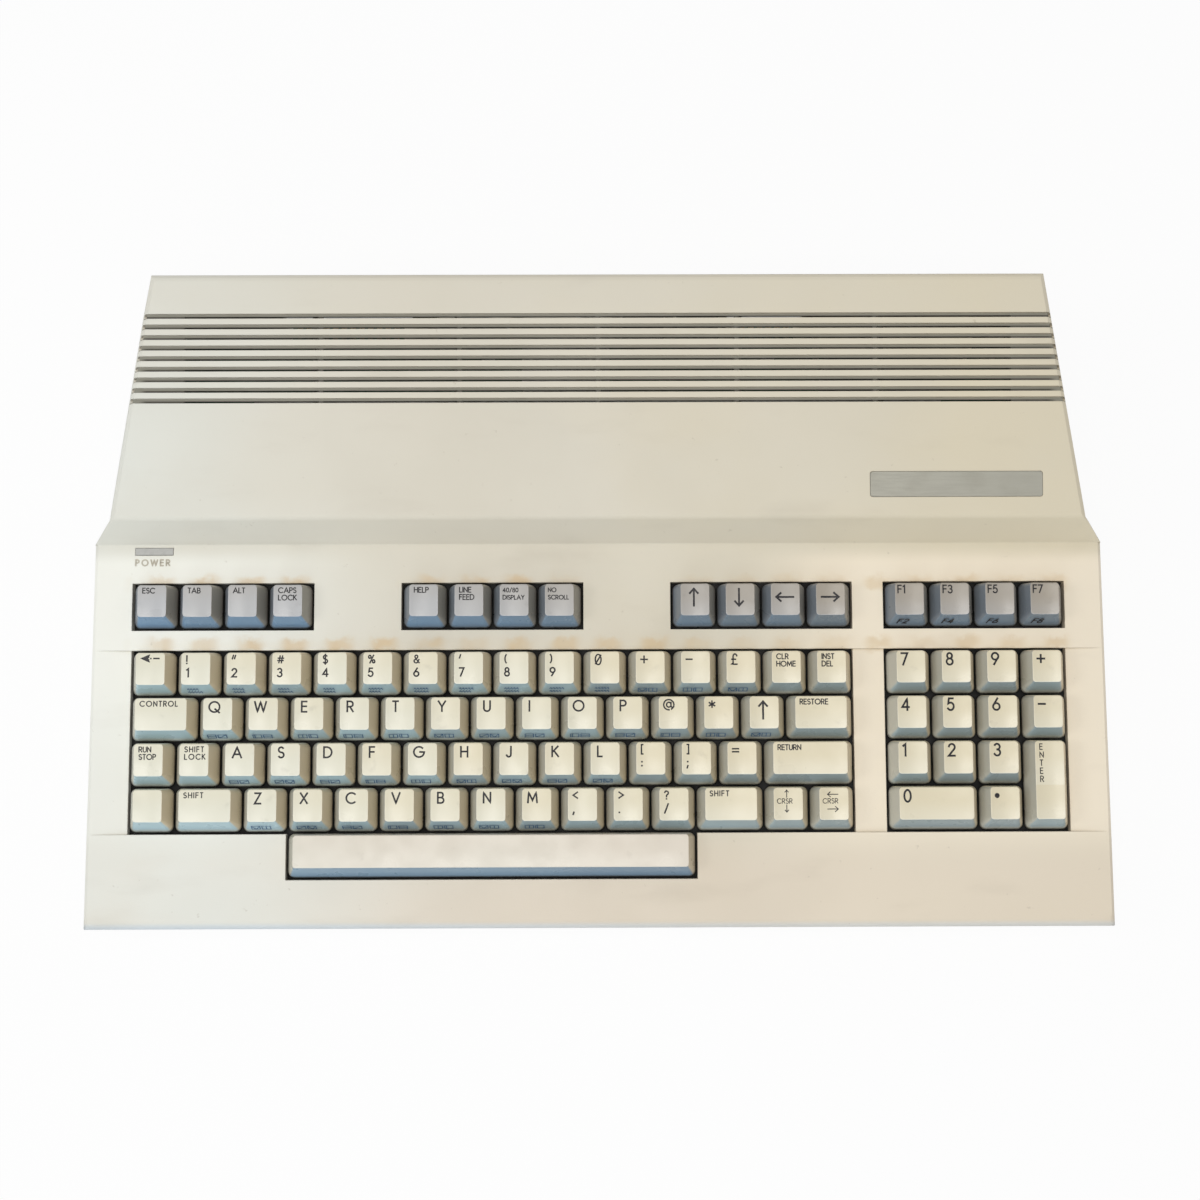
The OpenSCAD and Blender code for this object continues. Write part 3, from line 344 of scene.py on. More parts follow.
class Graph:
    """The node tree of a material or a sky, with short calls for the nodes that the finishes use."""

    EDGE_SAMPLES: ClassVar[int] = 4
    CREVICE_SAMPLES: ClassVar[int] = 6
    SEED_STEP: ClassVar[Spot] = (1.0, 1.7, 0.6)

    def __init__(self, holder: bpy.types.Material | bpy.types.World) -> None:
        """Empties the tree but for its output.

        Args:
            holder: the material or sky whose tree it is.
        """
        holder.use_nodes = True
        self.holder = holder
        self.tree = holder.node_tree
        self.tree.nodes.clear()
        self.is_sky = isinstance(holder, bpy.types.World)
        self.out = self.node("ShaderNodeOutputWorld" if self.is_sky else "ShaderNodeOutputMaterial")

    def node(self, kind: str) -> bpy.types.Node:
        """Returns a new node of that kind."""
        return self.tree.nodes.new(kind)

    def feed(self, socket: Socket, value: Value | Tint) -> None:
        """Links a socket to another node's output, or sets its plain value.

        Args:
            socket: what is fed.
            value: the output, number or colour that it gets.
        """
        if isinstance(value, Socket):
            self.tree.links.new(value, socket)
        elif isinstance(value, tuple) and len(value) == 3 and socket.type == "RGBA":
            socket.default_value = (*value, 1.0)
        else:
            socket.default_value = value

    def math(self, kind: str, a: Value, b: Value = 0.0, clamp: bool = False) -> Socket:
        """Adds one sum.

        Args:
            kind: its name among the sums.
            a: its first value.
            b: its second value.
            clamp: whether the result is kept from 0 to 1.

        Returns:
            The result.
        """
        n = self.node("ShaderNodeMath")
        n.operation, n.use_clamp = kind, clamp
        self.feed(n.inputs[0], a)
        self.feed(n.inputs[1], b)
        return n.outputs[0]

    def times(self, a: Value, b: Value) -> Socket:
        """Returns a times b."""
        return self.math("MULTIPLY", a, b)

    def plus(self, a: Value, b: Value) -> Socket:
        """Returns a plus b."""
        return self.math("ADD", a, b)

    def minus(self, a: Value, b: Value) -> Socket:
        """Returns a minus b."""
        return self.math("SUBTRACT", a, b)

    def most(self, a: Value, b: Value) -> Socket:
        """Returns the greater of two values."""
        return self.math("MAXIMUM", a, b)

    def off(self, value: Value, middle: float) -> Socket:
        """Returns how far a value is from the middle, on either side."""
        return self.math("ABSOLUTE", self.minus(value, middle))

    def place(self) -> Socket:
        """Returns the place of the surface point, in metres."""
        return self.node("ShaderNodeTexCoord").outputs["Object"]

    def part(self, vector: Socket, axis: str) -> Socket:
        """Picks one part of a vector.

        Args:
            vector: the vector.
            axis: X, Y or Z.

        Returns:
            Its part along that axis.
        """
        n = self.node("ShaderNodeSeparateXYZ")
        self.feed(n.inputs[0], vector)
        return n.outputs[axis]

    def axis(self, name: str) -> Socket:
        """Returns one coordinate of the surface point, in metres."""
        return self.part(self.place(), name)

    def facing(self, name: str) -> Socket:
        """Returns one part of the direction that the surface faces, from -1 to 1."""
        return self.part(self.node("ShaderNodeNewGeometry").outputs["Normal"], name)

    def mapped(self, scale: Spot, start: Spot = (0, 0, 0)) -> Socket:
        """Scales and shifts the place of the surface point.

        Args:
            scale: units per metre along each axis.
            start: what is added to each coordinate.

        Returns:
            The place on the new scale.
        """
        n = self.node("ShaderNodeMapping")
        self.feed(n.inputs["Vector"], self.place())
        n.inputs["Scale"].default_value, n.inputs["Location"].default_value = scale, start
        return n.outputs[0]

    def noise(self, cloud: Cloud) -> Socket:
        """Adds cloudy noise.

        Args:
            cloud: its grain, detail, stretch and seed.

        Returns:
            The noise, from 0 to 1.
        """
        n = self.node("ShaderNodeTexNoise")
        n.inputs["Scale"].default_value = 1.0
        n.inputs["Detail"].default_value = cloud.detail
        scale = tuple(s / (cloud.grain * MM) for s in cloud.stretch)
        start = tuple(s * cloud.seed for s in self.SEED_STEP)
        self.feed(n.inputs["Vector"], self.mapped(scale, start))
        return n.outputs[0]

    def ramp(self, value: Value, fade: Fade) -> Socket:
        """Carries a value smoothly from one range to another.

        Args:
            value: what is carried.
            fade: the two ranges.

        Returns:
            The carried value.
        """
        n = self.node("ShaderNodeMapRange")
        n.interpolation_type = "SMOOTHSTEP"
        feeds = {"Value": value, "From Min": fade.start, "From Max": fade.end,
                 "To Min": fade.first, "To Max": fade.last}
        for key, v in feeds.items():
            self.feed(n.inputs[key], v)
        return n.outputs[0]

    def patches(self, patches: Patches) -> Socket:
        """Returns cloudy patches."""
        return self.ramp(self.noise(patches.cloud), patches.fade)

    def mix(self, factor: Value, a: Tint, b: Tint) -> Socket:
        """Mixes two colours.

        Args:
            factor: 0 for the first, 1 for the second.
            a: the first colour.
            b: the second colour.

        Returns:
            The mixed colour.
        """
        n = self.node("ShaderNodeMix")
        n.data_type = "RGBA"
        for i, v in ((0, factor), (6, a), (7, b)):
            self.feed(n.inputs[i], v)
        return n.outputs[2]

    def crevice(self, reach_mm: float) -> Socket:
        """Finds tight corners.

        Args:
            reach_mm: how far off another surface counts.

        Returns:
            1 in the open and less in a corner.
        """
        n = self.node("ShaderNodeAmbientOcclusion")
        n.samples = self.CREVICE_SAMPLES
        n.inputs["Distance"].default_value = reach_mm * MM
        return n.outputs["AO"]

    def surface(self, color: Tint, roughness: Value, metallic: float = 0.0, bump: Socket | None = None,
                depth_mm: float = 0.02, edge: Value = 0.0, coat: float = 0.0, specular: float = 0.5) -> None:
        """Ends the graph in one surface.

        Args:
            color: its base colour.
            roughness: from 0 to 1.
            metallic: 1 for metal.
            bump: a height from 0 to 1, or None.
            depth_mm: height of the bumps.
            edge: radius in metres that sharp edges look rounded to.
            coat: strength of a clear coat.
            specular: strength of the reflection.
        """
        s = self.node("ShaderNodeBsdfPrincipled")
        feeds = {"Base Color": color, "Roughness": roughness, "Metallic": metallic,
                 "Coat Weight": coat, "Specular IOR Level": specular}
        for key, v in feeds.items():
            self.feed(s.inputs[key], v)
        normal = None
        if edge:
            rounded = self.node("ShaderNodeBevel")
            rounded.samples = self.EDGE_SAMPLES
            self.feed(rounded.inputs["Radius"], edge)
            normal = rounded.outputs[0]
        if bump is not None:
            b = self.node("ShaderNodeBump")
            b.inputs["Distance"].default_value = depth_mm * MM
            self.feed(b.inputs["Height"], bump)
            if normal is not None:
                self.feed(b.inputs["Normal"], normal)
            normal = b.outputs[0]
        if normal is not None:
            self.feed(s.inputs["Normal"], normal)
        self.feed(self.out.inputs["Surface"], s.outputs[0])

    def whiten(self, share: Value) -> None:
        """Turns what the camera, a mirror or glass sees of the finished surface or sky towards plain white.

        Args:
            share: how much of the white is mixed in.
        """
        rays = self.node("ShaderNodeLightPath").outputs
        mirrored = self.most(rays["Is Glossy Ray"], rays["Is Transmission Ray"])
        seen = self.most(rays["Is Camera Ray"], mirrored)
        white = self.node("ShaderNodeBackground" if self.is_sky else "ShaderNodeEmission")
        white.inputs[0].default_value, white.inputs[1].default_value = (1, 1, 1, 1), 1.0
        pick = self.node("ShaderNodeMixShader")
        plain = self.out.inputs["Surface"].links[0].from_socket
        for socket, value in zip(pick.inputs, (self.times(seen, share), plain, white.outputs[0])):
            self.feed(socket, value)
        self.feed(self.out.inputs["Surface"], pick.outputs[0])


class Finish:
    """A look that any number of surfaces can have."""

    def dress(self, g: Graph) -> None:
        """Ends a graph in the finish."""
        raise NotImplementedError

    def material(self, name: str) -> bpy.types.Material:
        """Makes a material of the finish.

        Args:
            name: its name.

        Returns:
            The material.
        """
        g = Graph(bpy.data.materials.new(name))
        self.dress(g)
        return g.holder


@dataclass(frozen=True)
class CaseFinish(Finish):
    """Grained case plastic that has yellowed unevenly, with grime where fingers and dust reach, and painted
    light and shade in places.

    The fades over x and y have their ends in metres.
    """

    plain: Color = (0.70, 0.655, 0.55)
    cool: Color = (0.77, 0.785, 0.73)
    warm: Color = (0.74, 0.65, 0.46)
    rosy: Color = (0.76, 0.655, 0.53)
    # A painted cool light on the rolled front edge
    cool_rim_light: Color = (0.66, 0.72, 0.76)
    # Painted glare on both ends of the key panel
    pale_glare: Color = (0.92, 0.92, 0.85)
    glare: Color = (0.92, 0.82, 0.66)
    # Grime, also used as painted shade in corners
    grime_and_shade: Color = (0.30, 0.24, 0.16)
    stain: Color = (0.65, 0.45, 0.21)
    # Dust and painted shade in the grooves
    dust: Color = (0.24, 0.235, 0.195)
    # A painted shadow along the front part of each groove
    painted_groove_shadow: Color = (0.045, 0.04, 0.03)

    clouds: Cloud = Cloud(90, 4, (1, 1.4, 1), 3)
    sun: Fade = Fade(-0.10, 0.24)
    sun_patches: Fade = Fade(0.35, 0.75, -0.2, 0.2)
    sun_share: float = 0.62
    front: Fade = Fade(-0.115, -0.085, 1.0, 0.0)
    front_share: float = 0.65
    shade: Fade = Fade(-0.22, -0.04, 1.0, 0.0)
    shade_lean: float = 0.2
    shade_patches: Fade = Fade(0.25, 0.7, 0.5, 0.95)

    # Where the painted glare lies
    right_glare: Fade = Fade(0.050, 0.115)
    left_glare: Fade = Fade(-0.190, -0.080, 1.0, 0.0)
    left_glare_front: Fade = Fade(-0.07, -0.01, 0.6, 1.0)
    below_step: Fade = Fade(0.016, 0.024, 1.0, 0.0)
    ends_at_front: Fade = Fade(0.0, 1.0, 0.9, 0.25)
    shine: Fade = Fade(-0.1, 0.1)

    # Where the painted cool light on the rolled front edge lies
    rim: Fade = Fade(-0.1354, -0.1330, 1.0, 0.0)
    rim_light_along: Fade = Fade(-0.15, 0.10, 0.85, 0.5)
    rolled_edge: Fade = Fade(-0.1335, -0.1300, 0.0034, 0.00045)

    bloom_rows: tuple[Point, Point] = ((0.0082, 0.0046), (-0.0178, 0.0042))
    bloom_core: float = 0.0006
    bloom_ragged: Patches = Patches(Cloud(5), Fade(0.3, 0.7, -0.0012, 0.0012))
    bloom_gaps: Point = (5.0, 11.0)
    bloom_gap: Fade = Fade(0.015, 0.021)
    bloom_zero: float = 0.19088
    bloom_wave: Fade = Fade(-1.0, 0.8, 0.1, 1.0)
    bloom_patches: Patches = Patches(Cloud(20, 3, (1, 0.3, 1), 8), Fade(0.30, 0.65, 0.3, 1.0))
    bloom_ends: Fade = Fade(0.196, 0.203, 1.0, 0.0)
    bloom_strength: Fade = Fade(-0.05, 0.10, 0.60, 0.42)

    specks: Patches = Patches(Cloud(3.2, seed=21), Fade(0.70, 0.80, 0.0, 0.25))
    smears: Patches = Patches(Cloud(34, 5, (0.6, 1.8, 1), 14), Fade(0.55, 0.80, 0.0, 0.12))
    # Grime and painted shade in corners
    corner_reach: float = 3.0
    corner_dirt_and_shade: Fade = Fade(0.35, 0.95, 0.6, 0.0)
    dirt_and_shade_patches: Patches = Patches(Cloud(12), Fade(0.2, 0.8, 0.6, 1.0))

    groove_wall: Point = (0.02, 0.12)
    groove_top: Fade = Fade(0.0004, 0.0009)
    groove_floor: Fade = Fade(0.0055, 0.0063, 1.0, 0.0)
    # Where the painted shadow lies in each groove
    groove_front: Point = (0.05, 0.40)
    groove_ends: Fade = Fade(0.190, 0.194, 0.9, 0.0)
    # How much dust and painted shade the grooves get
    groove_dust_and_shade: float = 0.92

    gloss: Patches = Patches(Cloud(40, 4, seed=5), Fade(0.3, 0.7, 0.44, 0.60))
    grain: Cloud = Cloud(0.55, 2)
    waves: Cloud = Cloud(6, 2)
    wave_share: float = 0.4
    grain_mm: float = 0.03
    specular: float = 0.4

    def grooves(self, g: Graph, y: Socket, z: Socket) -> tuple[Socket, Socket]:
        """Finds the vent grooves.

        Args:
            g: the graph.
            y: how far back the surface point is.
            z: how high it is.

        Returns:
            How far the point is inside a groove, and in the front part of one, from 0 to 1.
        """
        slope = math.radians(CASE.deck_slope)
        behind = g.minus(y, CASE.step_top_y * MM)
        along = g.math("DIVIDE", behind, math.cos(slope))
        deck_z = g.plus(g.times(behind, math.tan(slope)), CASE.step_top_z * MM)
        depth = g.minus(deck_z, z)
        start, pitch = CASE.groove_start * MM, CASE.groove_pitch * MM
        walls = [(CASE.groove_w / 2 + more) * MM for more in self.groove_wall]
        line = g.ramp(g.math("PINGPONG", g.minus(along, start), pitch / 2), Fade(*walls, 1.0, 0.0))
        middle = start + (CASE.groove_count - 1) / 2 * pitch
        zone = g.math("LESS_THAN", g.off(along, middle), CASE.groove_count / 2 * pitch)
        sunk = g.times(g.ramp(depth, self.groove_top), g.ramp(depth, self.groove_floor))
        inside = g.times(g.times(line, zone), sunk)
        place = g.math("FLOORED_MODULO", g.minus(along, start - pitch / 2), pitch)
        # The floor of a groove lies 0.2 mm farther back than the line it is drawn from
        front = [pitch / 2 + more * MM for more in self.groove_front]
        return inside, g.times(inside, g.ramp(place, Fade(*front, 1.0, 0.0)))

    def bloom(self, g: Graph, x: Socket, y: Socket) -> Socket:
        """Finds the brown bloom behind each key of the two rear rows.

        Args:
            g: the graph.
            x: how far right the surface point is.
            y: how far back it is.

        Returns:
            The strength of the bloom, from 0 to 1.
        """
        ragged = g.plus(y, g.patches(self.bloom_ragged))
        rear, front = (g.ramp(g.off(ragged, at), Fade(self.bloom_core, reach, 1.0, 0.0))
                       for at, reach in self.bloom_rows)
        # The rear row has two wide gaps between its groups of keys
        for units in self.bloom_gaps:
            middle = (units - BLOCK_U / 2) * KEY.pitch * MM
            rear = g.times(rear, g.ramp(g.off(x, middle), self.bloom_gap))
        turn = g.times(g.plus(x, self.bloom_zero), 2 * math.pi / (KEY.pitch * MM))
        spots = g.times(g.ramp(g.math("SINE", turn), self.bloom_wave), g.patches(self.bloom_patches))
        ends = g.ramp(g.off(x, 0.0), self.bloom_ends)
        return g.times(g.times(g.most(rear, front), spots), g.times(ends, g.ramp(x, self.bloom_strength)))

    def yellowed(self, g: Graph, x: Socket, y: Socket) -> Socket:
        """Finds how the sun has yellowed the plastic, more in some places than others, and adds a painted
        glare on the panel's ends and a painted cool light on the rolled front edge.

        Args:
            g: the graph.
            x: how far right the surface point is.
            y: how far back it is.

        Returns:
            The colour.
        """
        clouds = g.noise(self.clouds)
        warm = g.math("ADD", g.ramp(x, self.sun), g.ramp(clouds, self.sun_patches), clamp=True)
        color = g.mix(g.times(warm, self.sun_share), self.plain, self.warm)
        front = g.ramp(y, self.front)
        color = g.mix(g.times(front, self.front_share), color, self.rosy)
        shade = g.ramp(g.plus(x, g.times(y, self.shade_lean)), self.shade)
        color = g.mix(g.times(shade, g.ramp(clouds, self.shade_patches)), color, self.cool)
        # Both ends of the key panel are paler than its middle, a painted glare
        left = g.times(g.ramp(x, self.left_glare), g.ramp(y, self.left_glare_front))
        ends = g.times(g.most(g.ramp(x, self.right_glare), left), g.ramp(y, self.below_step))
        ends = g.times(ends, g.ramp(front, self.ends_at_front))
        color = g.mix(ends, color, g.mix(g.ramp(x, self.shine), self.pale_glare, self.glare))
        # A painted cool light on the rolled front edge
        rim = g.times(g.ramp(y, self.rim), g.ramp(x, self.rim_light_along))
        return g.mix(rim, color, self.cool_rim_light)

    def dress(self, g: Graph) -> None:
        """Ends a graph in the finish.

        Args:
            g: the graph.
        """
        x, y, z = (g.axis(a) for a in "XYZ")
        color = g.mix(self.bloom(g, x, y), self.yellowed(g, x, y), self.stain)
        color = g.mix(g.most(g.patches(self.specks), g.patches(self.smears)), color, self.grime_and_shade)
        # Grime and painted shade in the corners
        dirt_and_shade = g.times(g.ramp(g.crevice(self.corner_reach), self.corner_dirt_and_shade), g.patches(self.dirt_and_shade_patches))
        color = g.mix(dirt_and_shade, color, self.grime_and_shade)
        groove, shadow_lip = self.grooves(g, y, z)
        # Dust and painted shade in the grooves
        color = g.mix(g.times(groove, self.groove_dust_and_shade), color, self.dust)
        # A painted shadow along the front part of each groove, fading at the ends
        color = g.mix(g.times(shadow_lip, g.ramp(g.off(x, 0.0), self.groove_ends)), color, self.painted_groove_shadow)
        grain = g.plus(g.noise(self.grain), g.times(g.noise(self.waves), self.wave_share))
        g.surface(color, g.patches(self.gloss), bump=grain, depth_mm=self.grain_mm,
                  edge=g.ramp(y, self.rolled_edge), specular=self.specular)


@dataclass(frozen=True)
class KeyFinish(Finish):
    """Key cap plastic: each cap has yellowed a little differently; its faces carry painted light, shade and
    sheen, and its skirt grime and painted shade.

    The fades over height and x have their ends in metres.
    """

    plain: Color
    aged: Color
    # Painted light and shade on the upright faces: cool painted light and shade on the fronts, painted shade
    # on the right and left sides
    front: Color
    aged_front_shade: Color
    right: Color
    left: Color
    # A painted sheen on the front half of the tops and along their front edge
    painted_sheen: Color
    # How much painted shade the foot of the fronts takes, in the colour of the shaded sides
    front_foot_shade: float = 0.4
    # Grime, also used as painted shade in corners and at the foot of the skirts
    grime_and_shade: Color = (0.10, 0.085, 0.06)

    sun: Fade = Fade(-0.23, 0.12)
    clouds: Patches = Patches(Cloud(60), Fade(0.3, 0.7, -0.15, 0.15))
    each: Fade = Fade(0.0, 1.0, -0.2, 0.2)
    # Where the painted sheen lies on each top, where the plastic is also smoother
    sheen_and_polish: Fade = Fade(0.30, 0.72, 1.0, 0.0)
    sheen_share: float = 0.22
    dim_back: Fade = Fade(0.55, 0.90, 0.0, 0.22)
    smudges: Patches = Patches(Cloud(7, 4, seed=31), Fade(0.60, 0.80, 0.0, 0.14))
    faces_right: Fade = Fade(0.30, 0.62)
    faces_left: Fade = Fade(-0.62, -0.30, 1.0, 0.0)
    faces_front: Fade = Fade(-0.85, -0.55, 1.0, 0.0)
    front_foot_shade_from: float = 0.0010
    front_foot_shade_to: float = 0.0034
    # Where the painted highlight on the top's front edge lies
    edge_below: Fade = Fade(-0.75, -0.55)
    edge_above: Fade = Fade(-0.32, -0.18, 1.0, 0.0)
    edge_across: Fade = Fade(0.12, 0.30, 1.0, 0.0)
    edge_highlight_share: float = 0.7
    # Painted shade at the foot of the skirts
    foot: Fade = Fade(0.0003, 0.0015, 0.7, 0.0)
    foot_shade_patches: Patches = Patches(Cloud(5, 2), Fade(0.3, 0.6, 0.6, 1.0))
    # Grime and painted shade in corners
    corner_reach: float = 4.0
    corner_dirt_and_shade: Fade = Fade(0.05, 0.45, 0.65, 0.0)
    gloss: Patches = Patches(Cloud(9, seed=2), Fade(0.3, 0.7, 0.34, 0.50))
    polished_by: float = 0.10
    grain: Cloud = Cloud(0.45, 2)
    grain_mm: float = 0.012

    def over_panel(self, g: Graph) -> tuple[Socket, Socket]:
        """Returns how far behind and above the panel's front edge the surface point is."""
        return g.plus(g.axis("Y"), CASE.depth / 2 * MM), g.minus(g.axis("Z"), CASE.front_h * MM)

    def height(self, g: Graph) -> Socket:
        """Measures how high a point is on its cap.

        Args:
            g: the graph.

        Returns:
            Its height above the feet of the skirts.
        """
        tilt = math.radians(CASE.panel_tilt)
        back, up = self.over_panel(g)
        level = g.minus(g.times(up, math.cos(tilt)), g.times(back, math.sin(tilt)))
        return g.plus(level, PANEL_OVER_SKIRT * MM)

    def back_share(self, g: Graph) -> Socket:
        """Measures how far back a point is on its own cap.

        Args:
            g: the graph.

        Returns:
            0 at the cap's front, 1 at its back.
        """
        tilt = math.radians(CASE.panel_tilt)
        back, up = self.over_panel(g)
        along = g.plus(g.times(back, math.cos(tilt)), g.times(up, math.sin(tilt)))
        units = g.math("DIVIDE", g.minus(along, KEY_SETBACK * MM), KEY.pitch * MM)
        # The rear row stands a part of a key behind the grid of the others
        rear = g.times(g.math("GREATER_THAN", units, FUNCTION_Y - 0.25), FUNCTION_Y % 1)
        return g.math("FLOORED_MODULO", g.minus(units, rear), 1.0)

    def top(self, g: Graph, age: Socket, sheen_and_polish: Socket, back: Socket) -> Socket:
        """Finds the colour of the tops: a painted sheen lightens their front half, and their back is
        yellower.

        Args:
            g: the graph.
            age: how far the plastic has yellowed.
            sheen_and_polish: how strong the painted sheen is, and how far fingers have polished the plastic
                smoother.
            back: how far back the point is on its cap.

        Returns:
            The colour.
        """
        color = g.mix(age, self.plain, self.aged)
        # Painted sheen: the back of the top yellower, the front half lighter
        color = g.mix(g.ramp(back, self.dim_back), color, self.aged)
        color = g.mix(g.times(sheen_and_polish, self.sheen_share), color, self.painted_sheen)
        return g.mix(g.patches(self.smudges), color, self.grime_and_shade)

    def sides(self, g: Graph, color: Socket, age: Socket, height: Socket) -> Socket:
        """Tints the upright faces with painted light and shade: cool painted light and shade on the fronts,
        painted shade on the sides.

        Args:
            g: the graph.
            color: the colour of the tops.
            age: how far the plastic has yellowed.
            height: how high the point is on its cap.

        Returns:
            The colour.
        """
        across, forward = g.facing("X"), g.facing("Y")
        # Painted shade on the right and left sides
        color = g.mix(g.ramp(across, self.faces_right), color, self.right)
        color = g.mix(g.ramp(across, self.faces_left), color, self.left)
        # Cool painted light and shade on the fronts
        front = g.mix(age, self.front, self.aged_front_shade)
        # Towards its foot, the front takes the sides' painted shade
        low = g.ramp(height, Fade(self.front_foot_shade_from, self.front_foot_shade_to, self.front_foot_shade, 0.0))
        color = g.mix(g.ramp(forward, self.faces_front), color, g.mix(low, front, self.right))
        # A painted highlight along the rounded front edge of the top
        edge = g.times(g.ramp(forward, self.edge_below), g.ramp(forward, self.edge_above))
        edge = g.times(edge, g.ramp(g.off(across, 0.0), self.edge_across))
        return g.mix(g.times(edge, self.edge_highlight_share), color, self.painted_sheen)

    def dress(self, g: Graph) -> None:
        """Ends a graph in the finish.

        Args:
            g: the graph.
        """
        cap = g.node("ShaderNodeNewGeometry").outputs["Random Per Island"]
        # The right end has had more sun, and no two caps have aged alike
        mottled = g.plus(g.ramp(cap, self.each), g.patches(self.clouds))
        age = g.math("ADD", g.ramp(g.axis("X"), self.sun), mottled, clamp=True)
        back, height = self.back_share(g), self.height(g)
        sheen_and_polish = g.ramp(back, self.sheen_and_polish)
        color = self.sides(g, self.top(g, age, sheen_and_polish, back), age, height)
        # Grime and painted shade in corners, and painted shade at the foot of the skirts
        foot = g.times(g.ramp(height, self.foot), g.patches(self.foot_shade_patches))
        low = g.most(g.ramp(g.crevice(self.corner_reach), self.corner_dirt_and_shade), foot)
        color = g.mix(low, color, self.grime_and_shade)
        rough = g.minus(g.patches(self.gloss), g.times(sheen_and_polish, self.polished_by))
        g.surface(color, rough, bump=g.noise(self.grain), depth_mm=self.grain_mm)


@dataclass(frozen=True)
class InkFinish(Finish):
    """Printed ink, worn thin in places."""

    ink: Color
    worn: Color
    wear: Patches = Patches(Cloud(1.6, 4), Fade(0.45, 0.75, 0.0, 0.6))
    gloss: Patches = Patches(Cloud(5, 2), Fade(0.3, 0.7, 0.4, 0.6))
    specular: float = 0.3

    def dress(self, g: Graph) -> None:
        """Ends a graph in the finish."""
        color = g.mix(g.patches(self.wear), self.ink, self.worn)
        g.surface(color, g.patches(self.gloss), specular=self.specular)


@dataclass(frozen=True)
class MetalFinish(Finish):
    """Bare, plated or brushed metal."""

    base: Color
    tarnish: Color
    roughness: float = 0.35
    brushed: Spot = (1, 1, 1)
    metallic: float = 1.0
    line_mm: float = 0.7
    dull: Patches = Patches(Cloud(14, 4, seed=4), Fade(0.45, 0.75))
    rough_range: Point = (-0.08, 0.12)
    depth_mm: float = 0.01
    edge_mm: float = 0.15

    def dress(self, g: Graph) -> None:
        """Ends a graph in the finish.

        Args:
            g: the graph.
        """
        lines = g.noise(Cloud(self.line_mm, stretch=self.brushed))
        color = g.mix(g.patches(self.dull), self.base, self.tarnish)
        rough = g.ramp(lines, Fade(*NOISE_SPAN, *(self.roughness + d for d in self.rough_range)))
        g.surface(color, rough, self.metallic, bump=lines, depth_mm=self.depth_mm, edge=self.edge_mm * MM)


@dataclass(frozen=True)
class MouldedFinish(Finish):
    """Plain moulded plastic or rubber with dust on it."""

    base: Color
    dust: Color
    roughness: float = 0.5
    dusty: float = 0.35
    grain_mm: float = 0.5
    coat: float = 0.0
    dust_patches: Patches = Patches(Cloud(11, 5, seed=6), Fade(0.4, 0.75))
    gloss_grain: float = 8.0
    rough_range: Point = (-0.08, 0.10)
    depth_mm: float = 0.02
    edge_mm: float = 0.2

    def dress(self, g: Graph) -> None:
        """Ends a graph in the finish.

        Args:
            g: the graph.
        """
        color = g.mix(g.times(g.patches(self.dust_patches), self.dusty), self.base, self.dust)
        rough = g.ramp(g.noise(Cloud(self.gloss_grain)),
                       Fade(*NOISE_SPAN, *(self.roughness + d for d in self.rough_range)))
        g.surface(color, rough, bump=g.noise(Cloud(self.grain_mm, 2)), depth_mm=self.depth_mm,
                  edge=self.edge_mm * MM, coat=self.coat)


@dataclass(frozen=True)
class BoardFinish(Finish):
    """Lacquered circuit board with copper tracks that show through."""

    base: Color
    track: Color
    cells: Spot = (180, 90, 1)
    track_gap: float = 0.08
    track_edge: Fade = Fade(0.030, 0.045)
    track_share: float = 0.7
    gloss: Patches = Patches(Cloud(10), Fade(0.3, 0.7, 0.28, 0.42))
    depth_mm: float = 0.03
    lacquer: float = 0.3

    def dress(self, g: Graph) -> None:
        """Ends a graph in the finish.

        Args:
            g: the graph.
        """
        v = g.node("ShaderNodeTexVoronoi")
        v.distance = "MANHATTAN"
        g.feed(v.inputs["Vector"], g.mapped(self.cells))
        tracks = g.ramp(g.math("PINGPONG", v.outputs["Distance"], self.track_gap), self.track_edge)
        color = g.mix(g.times(tracks, self.track_share), self.base, self.track)
        g.surface(color, g.patches(self.gloss), bump=tracks, depth_mm=self.depth_mm, coat=self.lacquer)


